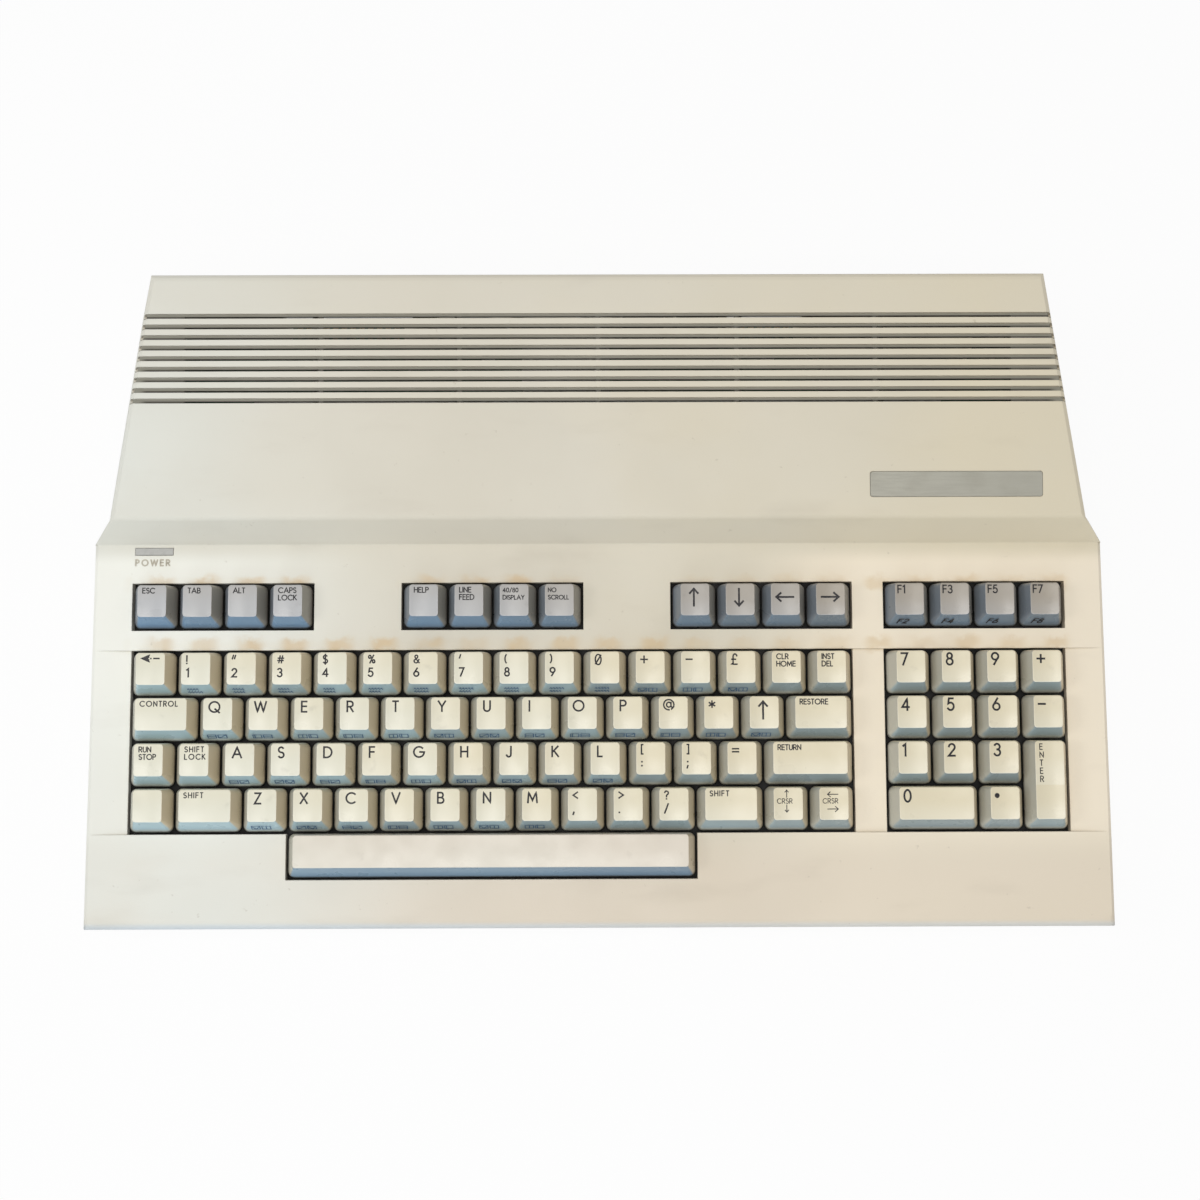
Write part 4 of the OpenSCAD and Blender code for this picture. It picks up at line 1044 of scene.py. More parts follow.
@dataclass
class Finishes:
    """Every finish of the object, made once."""

    made: dict[str, bpy.types.Material] = field(default_factory=dict)

    RECIPES: ClassVar[dict[str, Finish]] = {
        "case": CaseFinish(),
        # Each key finish has painted light and shade for the fronts and sides of its caps, and a painted
        # sheen
        "cream": KeyFinish(
            plain=(0.76, 0.74, 0.61), aged=(0.76, 0.68, 0.49), front=(0.455, 0.615, 0.67),
            aged_front_shade=(0.32, 0.39, 0.41), right=(0.67, 0.57, 0.395), left=(0.50, 0.49, 0.42),
            painted_sheen=(0.93, 0.92, 0.82)),
        "bar": KeyFinish(
            plain=(0.71, 0.68, 0.59), aged=(0.71, 0.64, 0.54), front=(0.30, 0.44, 0.56),
            aged_front_shade=(0.22, 0.32, 0.42), right=(0.60, 0.51, 0.37), left=(0.52, 0.50, 0.42),
            painted_sheen=(0.78, 0.75, 0.66), front_foot_shade=0.0),
        "lavender": KeyFinish(
            plain=(0.475, 0.48, 0.49), aged=(0.385, 0.34, 0.28), front=(0.19, 0.32, 0.48),
            aged_front_shade=(0.165, 0.215, 0.265), right=(0.285, 0.27, 0.235), left=(0.18, 0.205, 0.235),
            painted_sheen=(0.55, 0.57, 0.60), front_foot_shade=0.2),
        # The raised word: case plastic, tinted darker than the case as painted shade round its letters
        "word": MouldedFinish((0.54, 0.50, 0.41), (0.36, 0.31, 0.23), 0.5, 0.8),
        "ink": InkFinish((0.014, 0.013, 0.016), (0.06, 0.055, 0.05)),
        "blue_ink": InkFinish((0.06, 0.14, 0.28), (0.16, 0.25, 0.36)),
        "badge": MetalFinish((0.34, 0.33, 0.28), (0.31, 0.30, 0.25), 0.45, (0.08, 1, 1), 0.25),
        "lens": MouldedFinish((0.44, 0.44, 0.42), (0.38, 0.37, 0.34), 0.25, 0.5, 1.5, 0.3),
        "led": MouldedFinish((0.30, 0.02, 0.015), (0.25, 0.05, 0.04), 0.2, 0.3, 1.0, 0.5),
        "rubber": MouldedFinish((0.022, 0.022, 0.022), (0.14, 0.13, 0.12), 0.8, 0.5, 0.8),
        "black": MouldedFinish((0.022, 0.022, 0.024), (0.13, 0.12, 0.10), 0.45, 0.3),
        # The plate under the keys: black plastic, darkened further as painted shade in the gaps between the
        # caps
        "frame": MouldedFinish((0.004, 0.004, 0.004), (0.02, 0.017, 0.012), 0.75, 0.3),
        "switch": MouldedFinish((0.018, 0.018, 0.02), (0.10, 0.09, 0.08), 0.35, 0.25, 0.6, 0.2),
        "steel": MetalFinish((0.60, 0.60, 0.60), (0.40, 0.38, 0.34), 0.34),
        "tin": MetalFinish((0.58, 0.58, 0.56), (0.42, 0.41, 0.38), 0.45, (0.15, 1, 1)),
        "gold": MetalFinish((0.80, 0.58, 0.25), (0.55, 0.40, 0.20), 0.3),
        "cable": MouldedFinish((0.42, 0.42, 0.42), (0.32, 0.30, 0.27), 0.5, 0.4),
        "chip": MouldedFinish((0.025, 0.025, 0.027), (0.10, 0.10, 0.09), 0.5, 0.4),
        "board": BoardFinish((0.016, 0.075, 0.035), (0.05, 0.17, 0.08)),
    }

    def get(self, name: str) -> bpy.types.Material:
        """Makes a finish's material the first time it is asked for.

        Args:
            name: the finish's name among the recipes.

        Returns:
            The material.
        """
        if name not in self.made:
            self.made[name] = self.RECIPES[name].material(name)
        return self.made[name]


# ---- Lettering ----

def arc(cx: float, cy: float, rx: float, ry: float, a0: float, a1: float, n: int = 18) -> Stroke:
    """Returns n points along an ellipse about cx, cy from angle a0 to a1, in degrees."""
    turns = np.linspace(math.radians(a0), math.radians(a1), n)
    return [(cx + rx * math.cos(t), cy + ry * math.sin(t)) for t in turns]


def dot(x: float, y: float, half: float = 0.035) -> Stroke:
    """Returns a stroke so short that it prints as a dot."""
    return [(x - half, y), (x + half, y)]


S_CURVE = arc(.27, .755, .235, .245, 35, 268) + arc(.27, .255, .26, .255, 88, -145)
BULGE_TOP = arc(.25, .755, .235, .245, 150, -88)
BULGE_LOW = arc(.25, .265, .265, .265, 88, -155)

GLYPHS: dict[str, tuple[float, list[Stroke]]] = {
    " ": (.35, []),
    "A": (.84, [[(0, 0), (.42, 1), (.84, 0)], [(.14, .33), (.70, .33)]]),
    "B": (.56, [[(.28, .52), (0, .52), (0, 1), (.28, 1)] + arc(.28, .76, .22, .24, 88, -90),
                [(0, .52), (0, 0), (.29, 0)] + arc(.29, .26, .27, .26, -90, 90)]),
    "C": (.86, [arc(.5, .5, .5, .5, 47, 313)]),
    "D": (.74, [[(0, 0), (0, 1), (.24, 1)] + arc(.25, .5, .49, .5, 90, -90) + [(0, 0)]]),
    "E": (.48, [[(.48, 1), (0, 1), (0, 0), (.48, 0)], [(0, .53), (.44, .53)]]),
    "F": (.46, [[(.46, 1), (0, 1), (0, 0)], [(0, .52), (.42, .52)]]),
    "G": (1.0, [arc(.5, .5, .5, .5, 47, 358) + [(.58, .5)]]),
    "H": (.64, [[(0, 0), (0, 1)], [(.64, 0), (.64, 1)], [(0, .52), (.64, .52)]]),
    "I": (.0, [[(0, 0), (0, 1)]]),
    "J": (.42, [[(.42, 1), (.42, .24)] + arc(.21, .22, .21, .22, 0, -165)]),
    "K": (.58, [[(0, 0), (0, 1)], [(.56, 1), (0, .42)], [(.16, .58), (.60, 0)]]),
    "L": (.42, [[(0, 1), (0, 0), (.42, 0)]]),
    "M": (.88, [[(0, 0), (.08, 1), (.44, .22), (.80, 1), (.88, 0)]]),
    "N": (.66, [[(0, 0), (0, 1), (.66, 0), (.66, 1)]]),
    "O": (1.0, [arc(.5, .5, .5, .5, 0, 360, 30)]),
    "P": (.54, [[(0, 0), (0, 1), (.28, 1)] + arc(.28, .74, .26, .26, 88, -90) + [(0, .48)]]),
    "Q": (1.0, [arc(.5, .5, .5, .5, 0, 360, 30), [(.56, .30), (.98, -.06)]]),
    "R": (.56, [[(0, 0), (0, 1), (.28, 1)] + arc(.28, .74, .26, .26, 88, -90) + [(0, .48)],
                [(.24, .48), (.56, 0)]]),
    "S": (.52, [S_CURVE]),
    "T": (.52, [[(0, 1), (.52, 1)], [(.26, 1), (.26, 0)]]),
    "U": (.60, [[(0, 1), (0, .32)] + arc(.3, .3, .3, .3, 182, 358) + [(.6, 1)]]),
    "V": (.74, [[(0, 1), (.37, 0), (.74, 1)]]),
    "W": (1.1, [[(0, 1), (.27, 0), (.55, 1), (.83, 0), (1.1, 1)]]),
    "X": (.64, [[(0, 1), (.64, 0)], [(0, 0), (.64, 1)]]),
    "Y": (.68, [[(0, 1), (.34, .46), (.68, 1)], [(.34, .46), (.34, 0)]]),
    "Z": (.58, [[(.02, 1), (.56, 1), (0, 0), (.58, 0)]]),
    "0": (.56, [arc(.28, .5, .28, .5, 0, 360, 26)]),
    "1": (.2, [[(.0, .84), (.2, 1), (.2, 0)]]),
    "2": (.54, [arc(.27, .73, .26, .27, 172, -38) + [(0, 0), (.54, 0)]]),
    "3": (.52, [BULGE_TOP, BULGE_LOW]),
    "4": (.60, [[(.44, 0), (.44, 1), (0, .27), (.60, .27)]]),
    "5": (.54, [[(.48, 1), (.12, 1), (.04, .54)] + arc(.25, .32, .28, .32, 130, -150)]),
    "6": (.58, [[(.40, 1), (.05, .43)], arc(.29, .29, .29, .29, 0, 360, 24)]),
    "7": (.54, [[(0, 1), (.54, 1), (.15, 0)]]),
    "8": (.54, [arc(.27, .765, .215, .235, 0, 360, 22), arc(.27, .265, .27, .265, 0, 360, 24)]),
    "9": (.58, [[(.18, 0), (.53, .57)], arc(.29, .71, .29, .29, 0, 360, 24)]),
    "!": (.0, [[(0, 1), (0, .28)], dot(0, .02)]),
    '"': (.40, [[(.14, 1.04), (0, .58)], [(.40, 1.04), (.26, .58)]]),
    "#": (.72, [[(.14, .05), (.30, .95)], [(.44, .05), (.60, .95)],
                [(.04, .65), (.72, .65)], [(0, .35), (.68, .35)]]),
    "$": (.54, [S_CURVE, [(.27, 1.14), (.27, -.14)]]),
    "%": (.78, [arc(.15, .78, .15, .19, 0, 360, 16), arc(.63, .21, .15, .19, 0, 360, 16),
                [(.62, 1), (.16, 0)]]),
    "&": (.66, [[(.66, 0), (.15, .64)] + arc(.29, .79, .17, .19, 205, -45) + [(.10, .38)]
                + arc(.26, .24, .25, .24, 150, 325) + [(.62, .44)]]),
    "'": (.14, [[(.14, 1.04), (0, .58)]]),
    "(": (.2, [arc(.36, .48, .34, .62, 122, 238)]),
    ")": (.2, [arc(-.16, .48, .34, .62, 58, -58)]),
    "[": (.2, [[(.2, 1.08), (0, 1.08), (0, -.1), (.2, -.1)]]),
    "]": (.2, [[(0, 1.08), (.2, 1.08), (.2, -.1), (0, -.1)]]),
    "*": (.56, [[(.28, .86), (.28, .22)], [(0, .70), (.56, .38)], [(.56, .70), (0, .38)]]),
    "+": (.66, [[(.33, .17), (.33, .83)], [(0, .5), (.66, .5)]]),
    "-": (.60, [[(0, .5), (.60, .5)]]),
    "=": (.62, [[(0, .63), (.62, .63)], [(0, .34), (.62, .34)]]),
    "/": (.44, [[(0, -.06), (.44, 1.06)]]),
    "?": (.48, [arc(.24, .76, .23, .24, 165, -55) + [(.24, .44), (.24, .26)], dot(.24, .02)]),
    "<": (.56, [[(.56, .90), (0, .52), (.56, .14)]]),
    ">": (.56, [[(0, .90), (.56, .52), (0, .14)]]),
    ",": (.1, [[(.09, .10), (0, -.20)]]),
    ".": (.1, [dot(.05, .04)]),
    ":": (.1, [dot(.05, .12), dot(.05, .60)]),
    ";": (.1, [[(.09, .12), (0, -.18)], dot(.07, .60)]),
    "@": (1.0, [arc(.5, .5, .5, .5, -60, 275, 28), arc(.5, .5, .22, .24, 0, 360, 18),
                [(.72, .74), (.72, .38)] + arc(.86, .40, .14, .16, 190, 330, 8)]),
    "£": (.56, [arc(.36, .74, .19, .26, 15, 180) + [(.17, .12), (0, 0), (.56, 0)],
                [(.02, .48), (.42, .48)]]),
    "ø": (.56, [arc(.28, .5, .28, .5, 0, 360, 26), [(.02, .08), (.54, .92)]]),
    "←": (1.0, [[(0, .5), (1.0, .5)], [(.27, .74), (0, .5), (.27, .26)]]),
    "«": (.82, [[(.36, .65), (.04, .5), (.36, .35), (.28, .5), (.36, .65)], [(.10, .5), (.30, .5)],
                [(.12, .5), (.34, .56)], [(.12, .5), (.34, .44)], [(.42, .5), (.44, .5)],
                [(.56, .5), (.82, .5)]]),
    "→": (1.0, [[(0, .5), (1.0, .5)], [(.73, .74), (1.0, .5), (.73, .26)]]),
    "↑": (.48, [[(.24, 0), (.24, 1)], [(0, .73), (.24, 1), (.48, .73)]]),
    "↓": (.48, [[(.24, 0), (.24, 1)], [(0, .27), (.24, 0), (.48, .27)]]),
    "•": (.30, [arc(.15, .5, .135, .135, 0, 360, 16), arc(.15, .5, .05, .05, 0, 360, 10)]),
}

Surface = Callable[[np.ndarray, np.ndarray, float], np.ndarray]


@dataclass(frozen=True)
class Pen:
    """How strokes become ribbons, in millimetres and in shares of their width.

    Attributes:
        longest: longest run between two points of a ribbon.
        same: points closer than this are one.
        closing: ends closer than this make a closed ribbon.
        least: shortest direction that is still made 1 long.
        overrun: how far an open end runs on.
        mitre: how sharp a corner may be.
        lift: height of the print over its surface.
        step, levels: strokes that follow each other lie this much higher, on so many levels.
    """

    longest: float = 0.9
    same: float = 1e-6
    closing: float = 1e-4
    least: float = 1e-9
    overrun: float = 0.35
    mitre: float = 0.35
    lift: float = 0.03
    step: float = 0.004
    levels: int = 4


PEN = Pen()


@dataclass(frozen=True)
class Lettering:
    """One line of text.

    Attributes:
        text: what it says.
        x, y: left end and foot of its first letter, in millimetres on its surface.
        size: height of its capitals.
        weight: width of its strokes.
        lean: slant of its letters, as sideways run per height.
        gap: room between its letters, as a share of its size.
    """

    text: str
    x: float
    y: float
    size: float
    weight: float
    lean: float = 0.0
    gap: float = 0.24

    def strokes(self) -> list[Stroke]:
        """Lays the letters side by side.

        Returns:
            Every stroke in place.
        """
        found: list[Stroke] = []
        at = 0.0
        for letter in self.text:
            width, shapes = GLYPHS[letter]
            for shape in shapes:
                found.append([(self.x + (at + px + self.lean * py) * self.size, self.y + py * self.size)
                              for px, py in shape])
            at += width + self.gap
        return found


def even(stroke: Stroke) -> np.ndarray:
    """Divides the long runs of a stroke.

    Args:
        stroke: its points.

    Returns:
        The points, with none too far apart.
    """
    points = [np.array(stroke[0], float)]
    for corner in stroke[1:]:
        a, b = points[-1], np.array(corner, float)
        length = float(np.linalg.norm(b - a))
        if length < PEN.same:
            continue
        steps = max(1, math.ceil(length / PEN.longest))
        points += [a + (b - a) * i / steps for i in range(1, steps + 1)]
    return np.array(points)


def ribbon(stroke: Stroke, weight: float) -> tuple[np.ndarray, list[tuple[int, ...]]]:
    """Turns a stroke into a flat ribbon with mitred corners.

    Args:
        stroke: points of its middle line.
        weight: its width.

    Returns:
        Its points in the plane, and its faces.
    """
    p = even(stroke)
    closed = len(p) > 3 and float(np.linalg.norm(p[0] - p[-1])) < PEN.closing
    if closed:
        p = p[:-1]
    n = len(p)
    ahead = np.roll(p, -1, 0) - p
    if not closed:
        ahead[-1] = ahead[-2]
    ahead /= np.maximum(np.linalg.norm(ahead, axis=1, keepdims=True), PEN.least)
    behind = np.roll(ahead, 1, 0)
    if not closed:
        behind[0] = ahead[0]
        p = p.copy()
        p[0] -= ahead[0] * weight * PEN.overrun
        p[-1] += ahead[-1] * weight * PEN.overrun
    left_a = np.stack([-ahead[:, 1], ahead[:, 0]], 1)
    left_b = np.stack([-behind[:, 1], behind[:, 0]], 1)
    mid = left_a + left_b
    mid /= np.maximum((1 + (left_a * left_b).sum(1, keepdims=True)), PEN.mitre)
    side = mid * weight / 2
    points = np.concatenate([p + side, p - side])
    steps = n if closed else n - 1
    return points, [(i, n + i, n + (i + 1) % n, (i + 1) % n) for i in range(steps)]


def ink(mesh: MeshBuilder, place: Frame, strokes: Iterable[Stroke], weight: float, surface: Surface,
        slot: int) -> None:
    """Prints strokes on a surface.

    Args:
        mesh: what the ribbons are added to.
        place: the frame that the surface is in.
        strokes: their middle lines.
        weight: their width.
        surface: gives points in the frame for x, y and a height above the surface.
        slot: number of the ink's material slot.
    """
    for k, stroke in enumerate(strokes):
        flat, faces = ribbon(stroke, weight)
        lift = PEN.lift + PEN.step * (k % PEN.levels)
        mesh.add(place.to_row(surface(flat[:, 0], flat[:, 1], lift)), faces, slot)


# ---- Keys ----

class Legend(Enum):
    """Ways in which a key is printed."""

    LETTER = "letter"
    PAIR = "pair"
    WORD = "word"
    NUMBER = "number"
    FUNCTION = "function"
    ARROW = "arrow"
    SIGN = "sign"
    COLUMN = "column"
    CURSOR = "cursor"
    BARE = "bare"


class FrontMark(Enum):
    """What is printed on a key's front."""

    NONE = 0
    PICTURES = 1
    LINES = 2


@dataclass(frozen=True)
class Key:
    """One key.

    Attributes:
        x, y: its lower left corner in key units.
        w, d: its width and depth in key units.
        lines: what is printed on its top, from the back.
        legend: how the lines are set.
        front: text on its front.
        mark: signs on its front.
    """

    x: float
    y: float
    w: float = 1.0
    d: float = 1.0
    lines: tuple[str, ...] = ()
    legend: Legend = Legend.BARE
    front: str = ""
    mark: FrontMark = FrontMark.NONE


def row(x: float, y: float, texts: Sequence[str], legend: Legend, mark: FrontMark = FrontMark.NONE,
        fronts: Sequence[str] = ()) -> list[Key]:
    """Returns a row of single keys; a text's lines are parted by spaces."""
    return [Key(x + i, y, 1, 1, tuple(t.split()), legend, fronts[i] if fronts else "", mark)
            for i, t in enumerate(texts)]


PICTURES, LINES = FrontMark.PICTURES, FrontMark.LINES

KEYS: dict[str, list[Key]] = {
    "keys_esc_tab_alt": row(0, FUNCTION_Y, ["ESC", "TAB", "ALT"], Legend.WORD),
    "key_caps_lock": row(3, FUNCTION_Y, ["CAPS LOCK"], Legend.WORD),
    "keys_help_scroll": row(6, FUNCTION_Y, ["HELP", "LINE FEED"], Legend.WORD)
    + row(9, FUNCTION_Y, ["NO SCROLL"], Legend.WORD),
    "key_display": row(8, FUNCTION_Y, ["40/80 DISPLAY"], Legend.WORD),
    "keys_arrow": row(12, FUNCTION_Y, ["↑", "↓", "←", "→"], Legend.ARROW),
    "keys_function": row(PAD_X, FUNCTION_Y, ["F1", "F3", "F5", "F7"], Legend.FUNCTION,
                         fronts=["F2", "F4", "F6", "F8"]),
    "keys_number_a": row(0, 3, ["«"], Legend.SIGN) + row(1, 3, ["! 1", '" 2', "# 3"], Legend.PAIR, LINES),
    "keys_number_b": row(4, 3, ["$ 4", "% 5", "& 6", "' 7"], Legend.PAIR, LINES),
    "keys_number_c": row(8, 3, ["( 8", ") 9"], Legend.PAIR, LINES) + row(10, 3, ["ø"], Legend.SIGN, LINES)
    + row(11, 3, ["+"], Legend.SIGN, PICTURES),
    "keys_number_d": row(12, 3, ["-", "£"], Legend.SIGN, PICTURES)
    + row(14, 3, ["CLR HOME", "INST DEL"], Legend.WORD),
    "key_control": [Key(0, 2, 1.5, 1, ("CONTROL",), Legend.WORD)],
    "keys_q_to_r": row(1.5, 2, list("QWER"), Legend.LETTER, PICTURES),
    "keys_t_to_i": row(5.5, 2, list("TYUI"), Legend.LETTER, PICTURES),
    "keys_o_to_arrow": row(9.5, 2, list("OP"), Legend.LETTER, PICTURES)
    + row(11.5, 2, ["@", "*"], Legend.SIGN, PICTURES) + row(13.5, 2, ["↑"], Legend.ARROW, PICTURES),
    "key_restore": [Key(14.5, 2, 1.5, 1, ("RESTORE",), Legend.WORD)],
    "key_run_stop": row(0, 1, ["RUN STOP"], Legend.WORD),
    "key_shift_lock": row(1, 1, ["SHIFT LOCK"], Legend.WORD),
    "keys_a_to_f": row(2, 1, list("ASDF"), Legend.LETTER, PICTURES),
    "keys_g_to_k": row(6, 1, list("GHJK"), Legend.LETTER, PICTURES),
    "keys_l_to_equals": row(10, 1, ["L"], Legend.LETTER, PICTURES) + row(11, 1, ["[ :", "] ;"], Legend.PAIR)
    + row(13, 1, ["="], Legend.SIGN),
    "key_return": [Key(14, 1, 2, 1, ("RETURN",), Legend.WORD)],
    "key_blank": [Key(0, 0)],
    "key_left_shift": [Key(1, 0, 1.5, 1, ("SHIFT",), Legend.WORD)],
    "keys_z_to_b": row(2.5, 0, list("ZXCVB"), Legend.LETTER, PICTURES),
    "keys_n_to_slash": row(7.5, 0, list("NM"), Legend.LETTER, PICTURES)
    + row(9.5, 0, ["< ,", "> .", "? /"], Legend.PAIR),
    "key_right_shift": [Key(12.5, 0, 1.5, 1, ("SHIFT",), Legend.WORD)],
    "keys_cursor": row(14, 0, ["↑ CRSR ↓", "← CRSR →"], Legend.CURSOR),
    "pad_7_8_9": row(PAD_X, 3, list("789"), Legend.NUMBER),
    "pad_4_5_6": row(PAD_X, 2, list("456"), Legend.NUMBER),
    "pad_1_2_3": row(PAD_X, 1, list("123"), Legend.NUMBER),
    "pad_plus_minus": row(PAD_X + 3, 3, ["+"], Legend.NUMBER) + row(PAD_X + 3, 2, ["-"], Legend.NUMBER),
    "pad_zero": [Key(PAD_X, 0, 2, 1, ("0",), Legend.NUMBER)],
    "pad_point": row(PAD_X + 2, 0, ["•"], Legend.NUMBER),
    "pad_enter": [Key(PAD_X + 3, 0, 1, 2, ("ENTER",), Legend.COLUMN)],
    "space_bar": [Key(3.5, -1, 9, 1)],
}
LAVENDER_KEYS = ("keys_esc_tab_alt", "key_caps_lock", "keys_help_scroll", "key_display", "keys_arrow",
                 "keys_function")


@dataclass(frozen=True)
class Setting:
    """How a line of print is set on a cap, in millimetres.

    Attributes:
        right: from the left edge of the top to the first letter.
        down: from the back edge of the top to the foot of the letters.
        size: height of the capitals.
        weight: width of the strokes.
        gap: room between letters, as a share of the size.
    """

    right: float
    down: float
    size: float
    weight: float
    gap: float = 0.24

    def lower(self, by: float) -> "Setting":
        """Returns the same setting farther down the cap."""
        return replace(self, down=self.down + by)


@dataclass(frozen=True)
class PrintSize:
    """The settings of every kind of legend, and the sizes of the marks on the fronts, in millimetres."""

    letter: Setting = Setting(3.1, 5.9, 4.3, 0.74)
    wide_letter: Setting = Setting(2.5, 5.9, 4.3, 0.74)
    wide_letters: str = "QWOGM"
    pair: tuple[Setting, ...] = (Setting(2.3, 4.6, 3.3, 0.60), Setting(2.3, 10.2, 3.4, 0.66))
    word: Setting = Setting(2.2, 3.4, 2.1, 0.44)
    long_word: Setting = Setting(1.5, 3.4, 1.72, 0.38)
    word_length: int = 5
    wide_cap: float = 1.2
    word_pitch: float = 3.1
    spaced: tuple[str, ...] = ("CONTROL", "SHIFT")
    spaced_gap: float = 0.40
    number: Setting = Setting(2.2, 6.1, 4.9, 0.82)
    function: Setting = Setting(1.4, 4.3, 3.2, 0.58)
    level_arrow: Setting = Setting(2.4, 9.5, 7.3, 0.82)
    upright_arrow: Setting = Setting(4.0, 9.5, 7.3, 0.82)
    sign: Setting = Setting(2.2, 5.6, 4.3, 0.62)
    large_sign: Setting = Setting(2.2, 7.0, 9.2, 0.62)
    column: Setting = Setting(2.2, 3.6, 2.3, 0.40)
    column_pitch: float = 3.35
    cursor_word: Setting = Setting(1.6, 6.6, 1.95, 0.3)
    level_cursor: tuple[Setting, ...] = (Setting(3.6, 5.1, 4.4, 0.36), Setting(3.6, 11.2, 4.4, 0.36))
    upright_cursor: tuple[Setting, ...] = (Setting(4.9, 4.1, 3.0, 0.36), Setting(4.9, 10.2, 3.0, 0.36))

    front_right: float = 1.6
    front_up: float = 3.1
    front_size: float = 3.3
    front_weight: float = 0.56
    front_lean: float = 0.3
    mark_weight: float = 0.34
    picture_left: float = 1.2
    picture_w: float = 3.5
    picture_z: Point = (3.0, 5.9)
    picture_pitch: float = 4.4
    picture_bar: float = 0.8
    dash_left: float = 2.0
    dash_z: float = 5.9
    dash_drop: float = 2.5
    dash_widths: Point = (4.2, 5.6)
    dash: tuple[Point, ...] = ((0.0, 0.0), (0.5, 0.8), (0.9, -0.5))
    dash_pitch: float = 1.25


@dataclass(frozen=True)
class CapMesh:
    """How finely a cap is divided.

    Attributes:
        sides: shares of the height at which the upright faces have a ring.
        edge: angles in degrees round the edge of the top.
        top: shares of the top's outline at which the top has a ring.
        corner: points round a corner.
        across, deep: runs per key unit of width and of depth.
        least_r: smallest radius of a corner.
        hollow_t: share of the height whose corners the hollow's end has.
        bar_w: width in key units from which a cap has more than one stem.
        bar_stems: places of its stems in key units.
    """

    sides: tuple[float, ...] = (0.12, 0.3, 0.5, 0.7, 0.86, 1.0)
    edge: tuple[float, ...] = (25, 50, 75)
    top: tuple[float, ...] = (1.0, 0.88, 0.75, 0.6, 0.45, 0.3, 0.15)
    corner: int = 7
    across: int = 8
    deep: int = 4
    least_r: float = 0.15
    hollow_t: float = 0.6
    bar_w: float = 4.0
    bar_stems: tuple[float, ...] = (-3, 0, 3)


PRINT = PrintSize()
CAP_MESH = CapMesh()


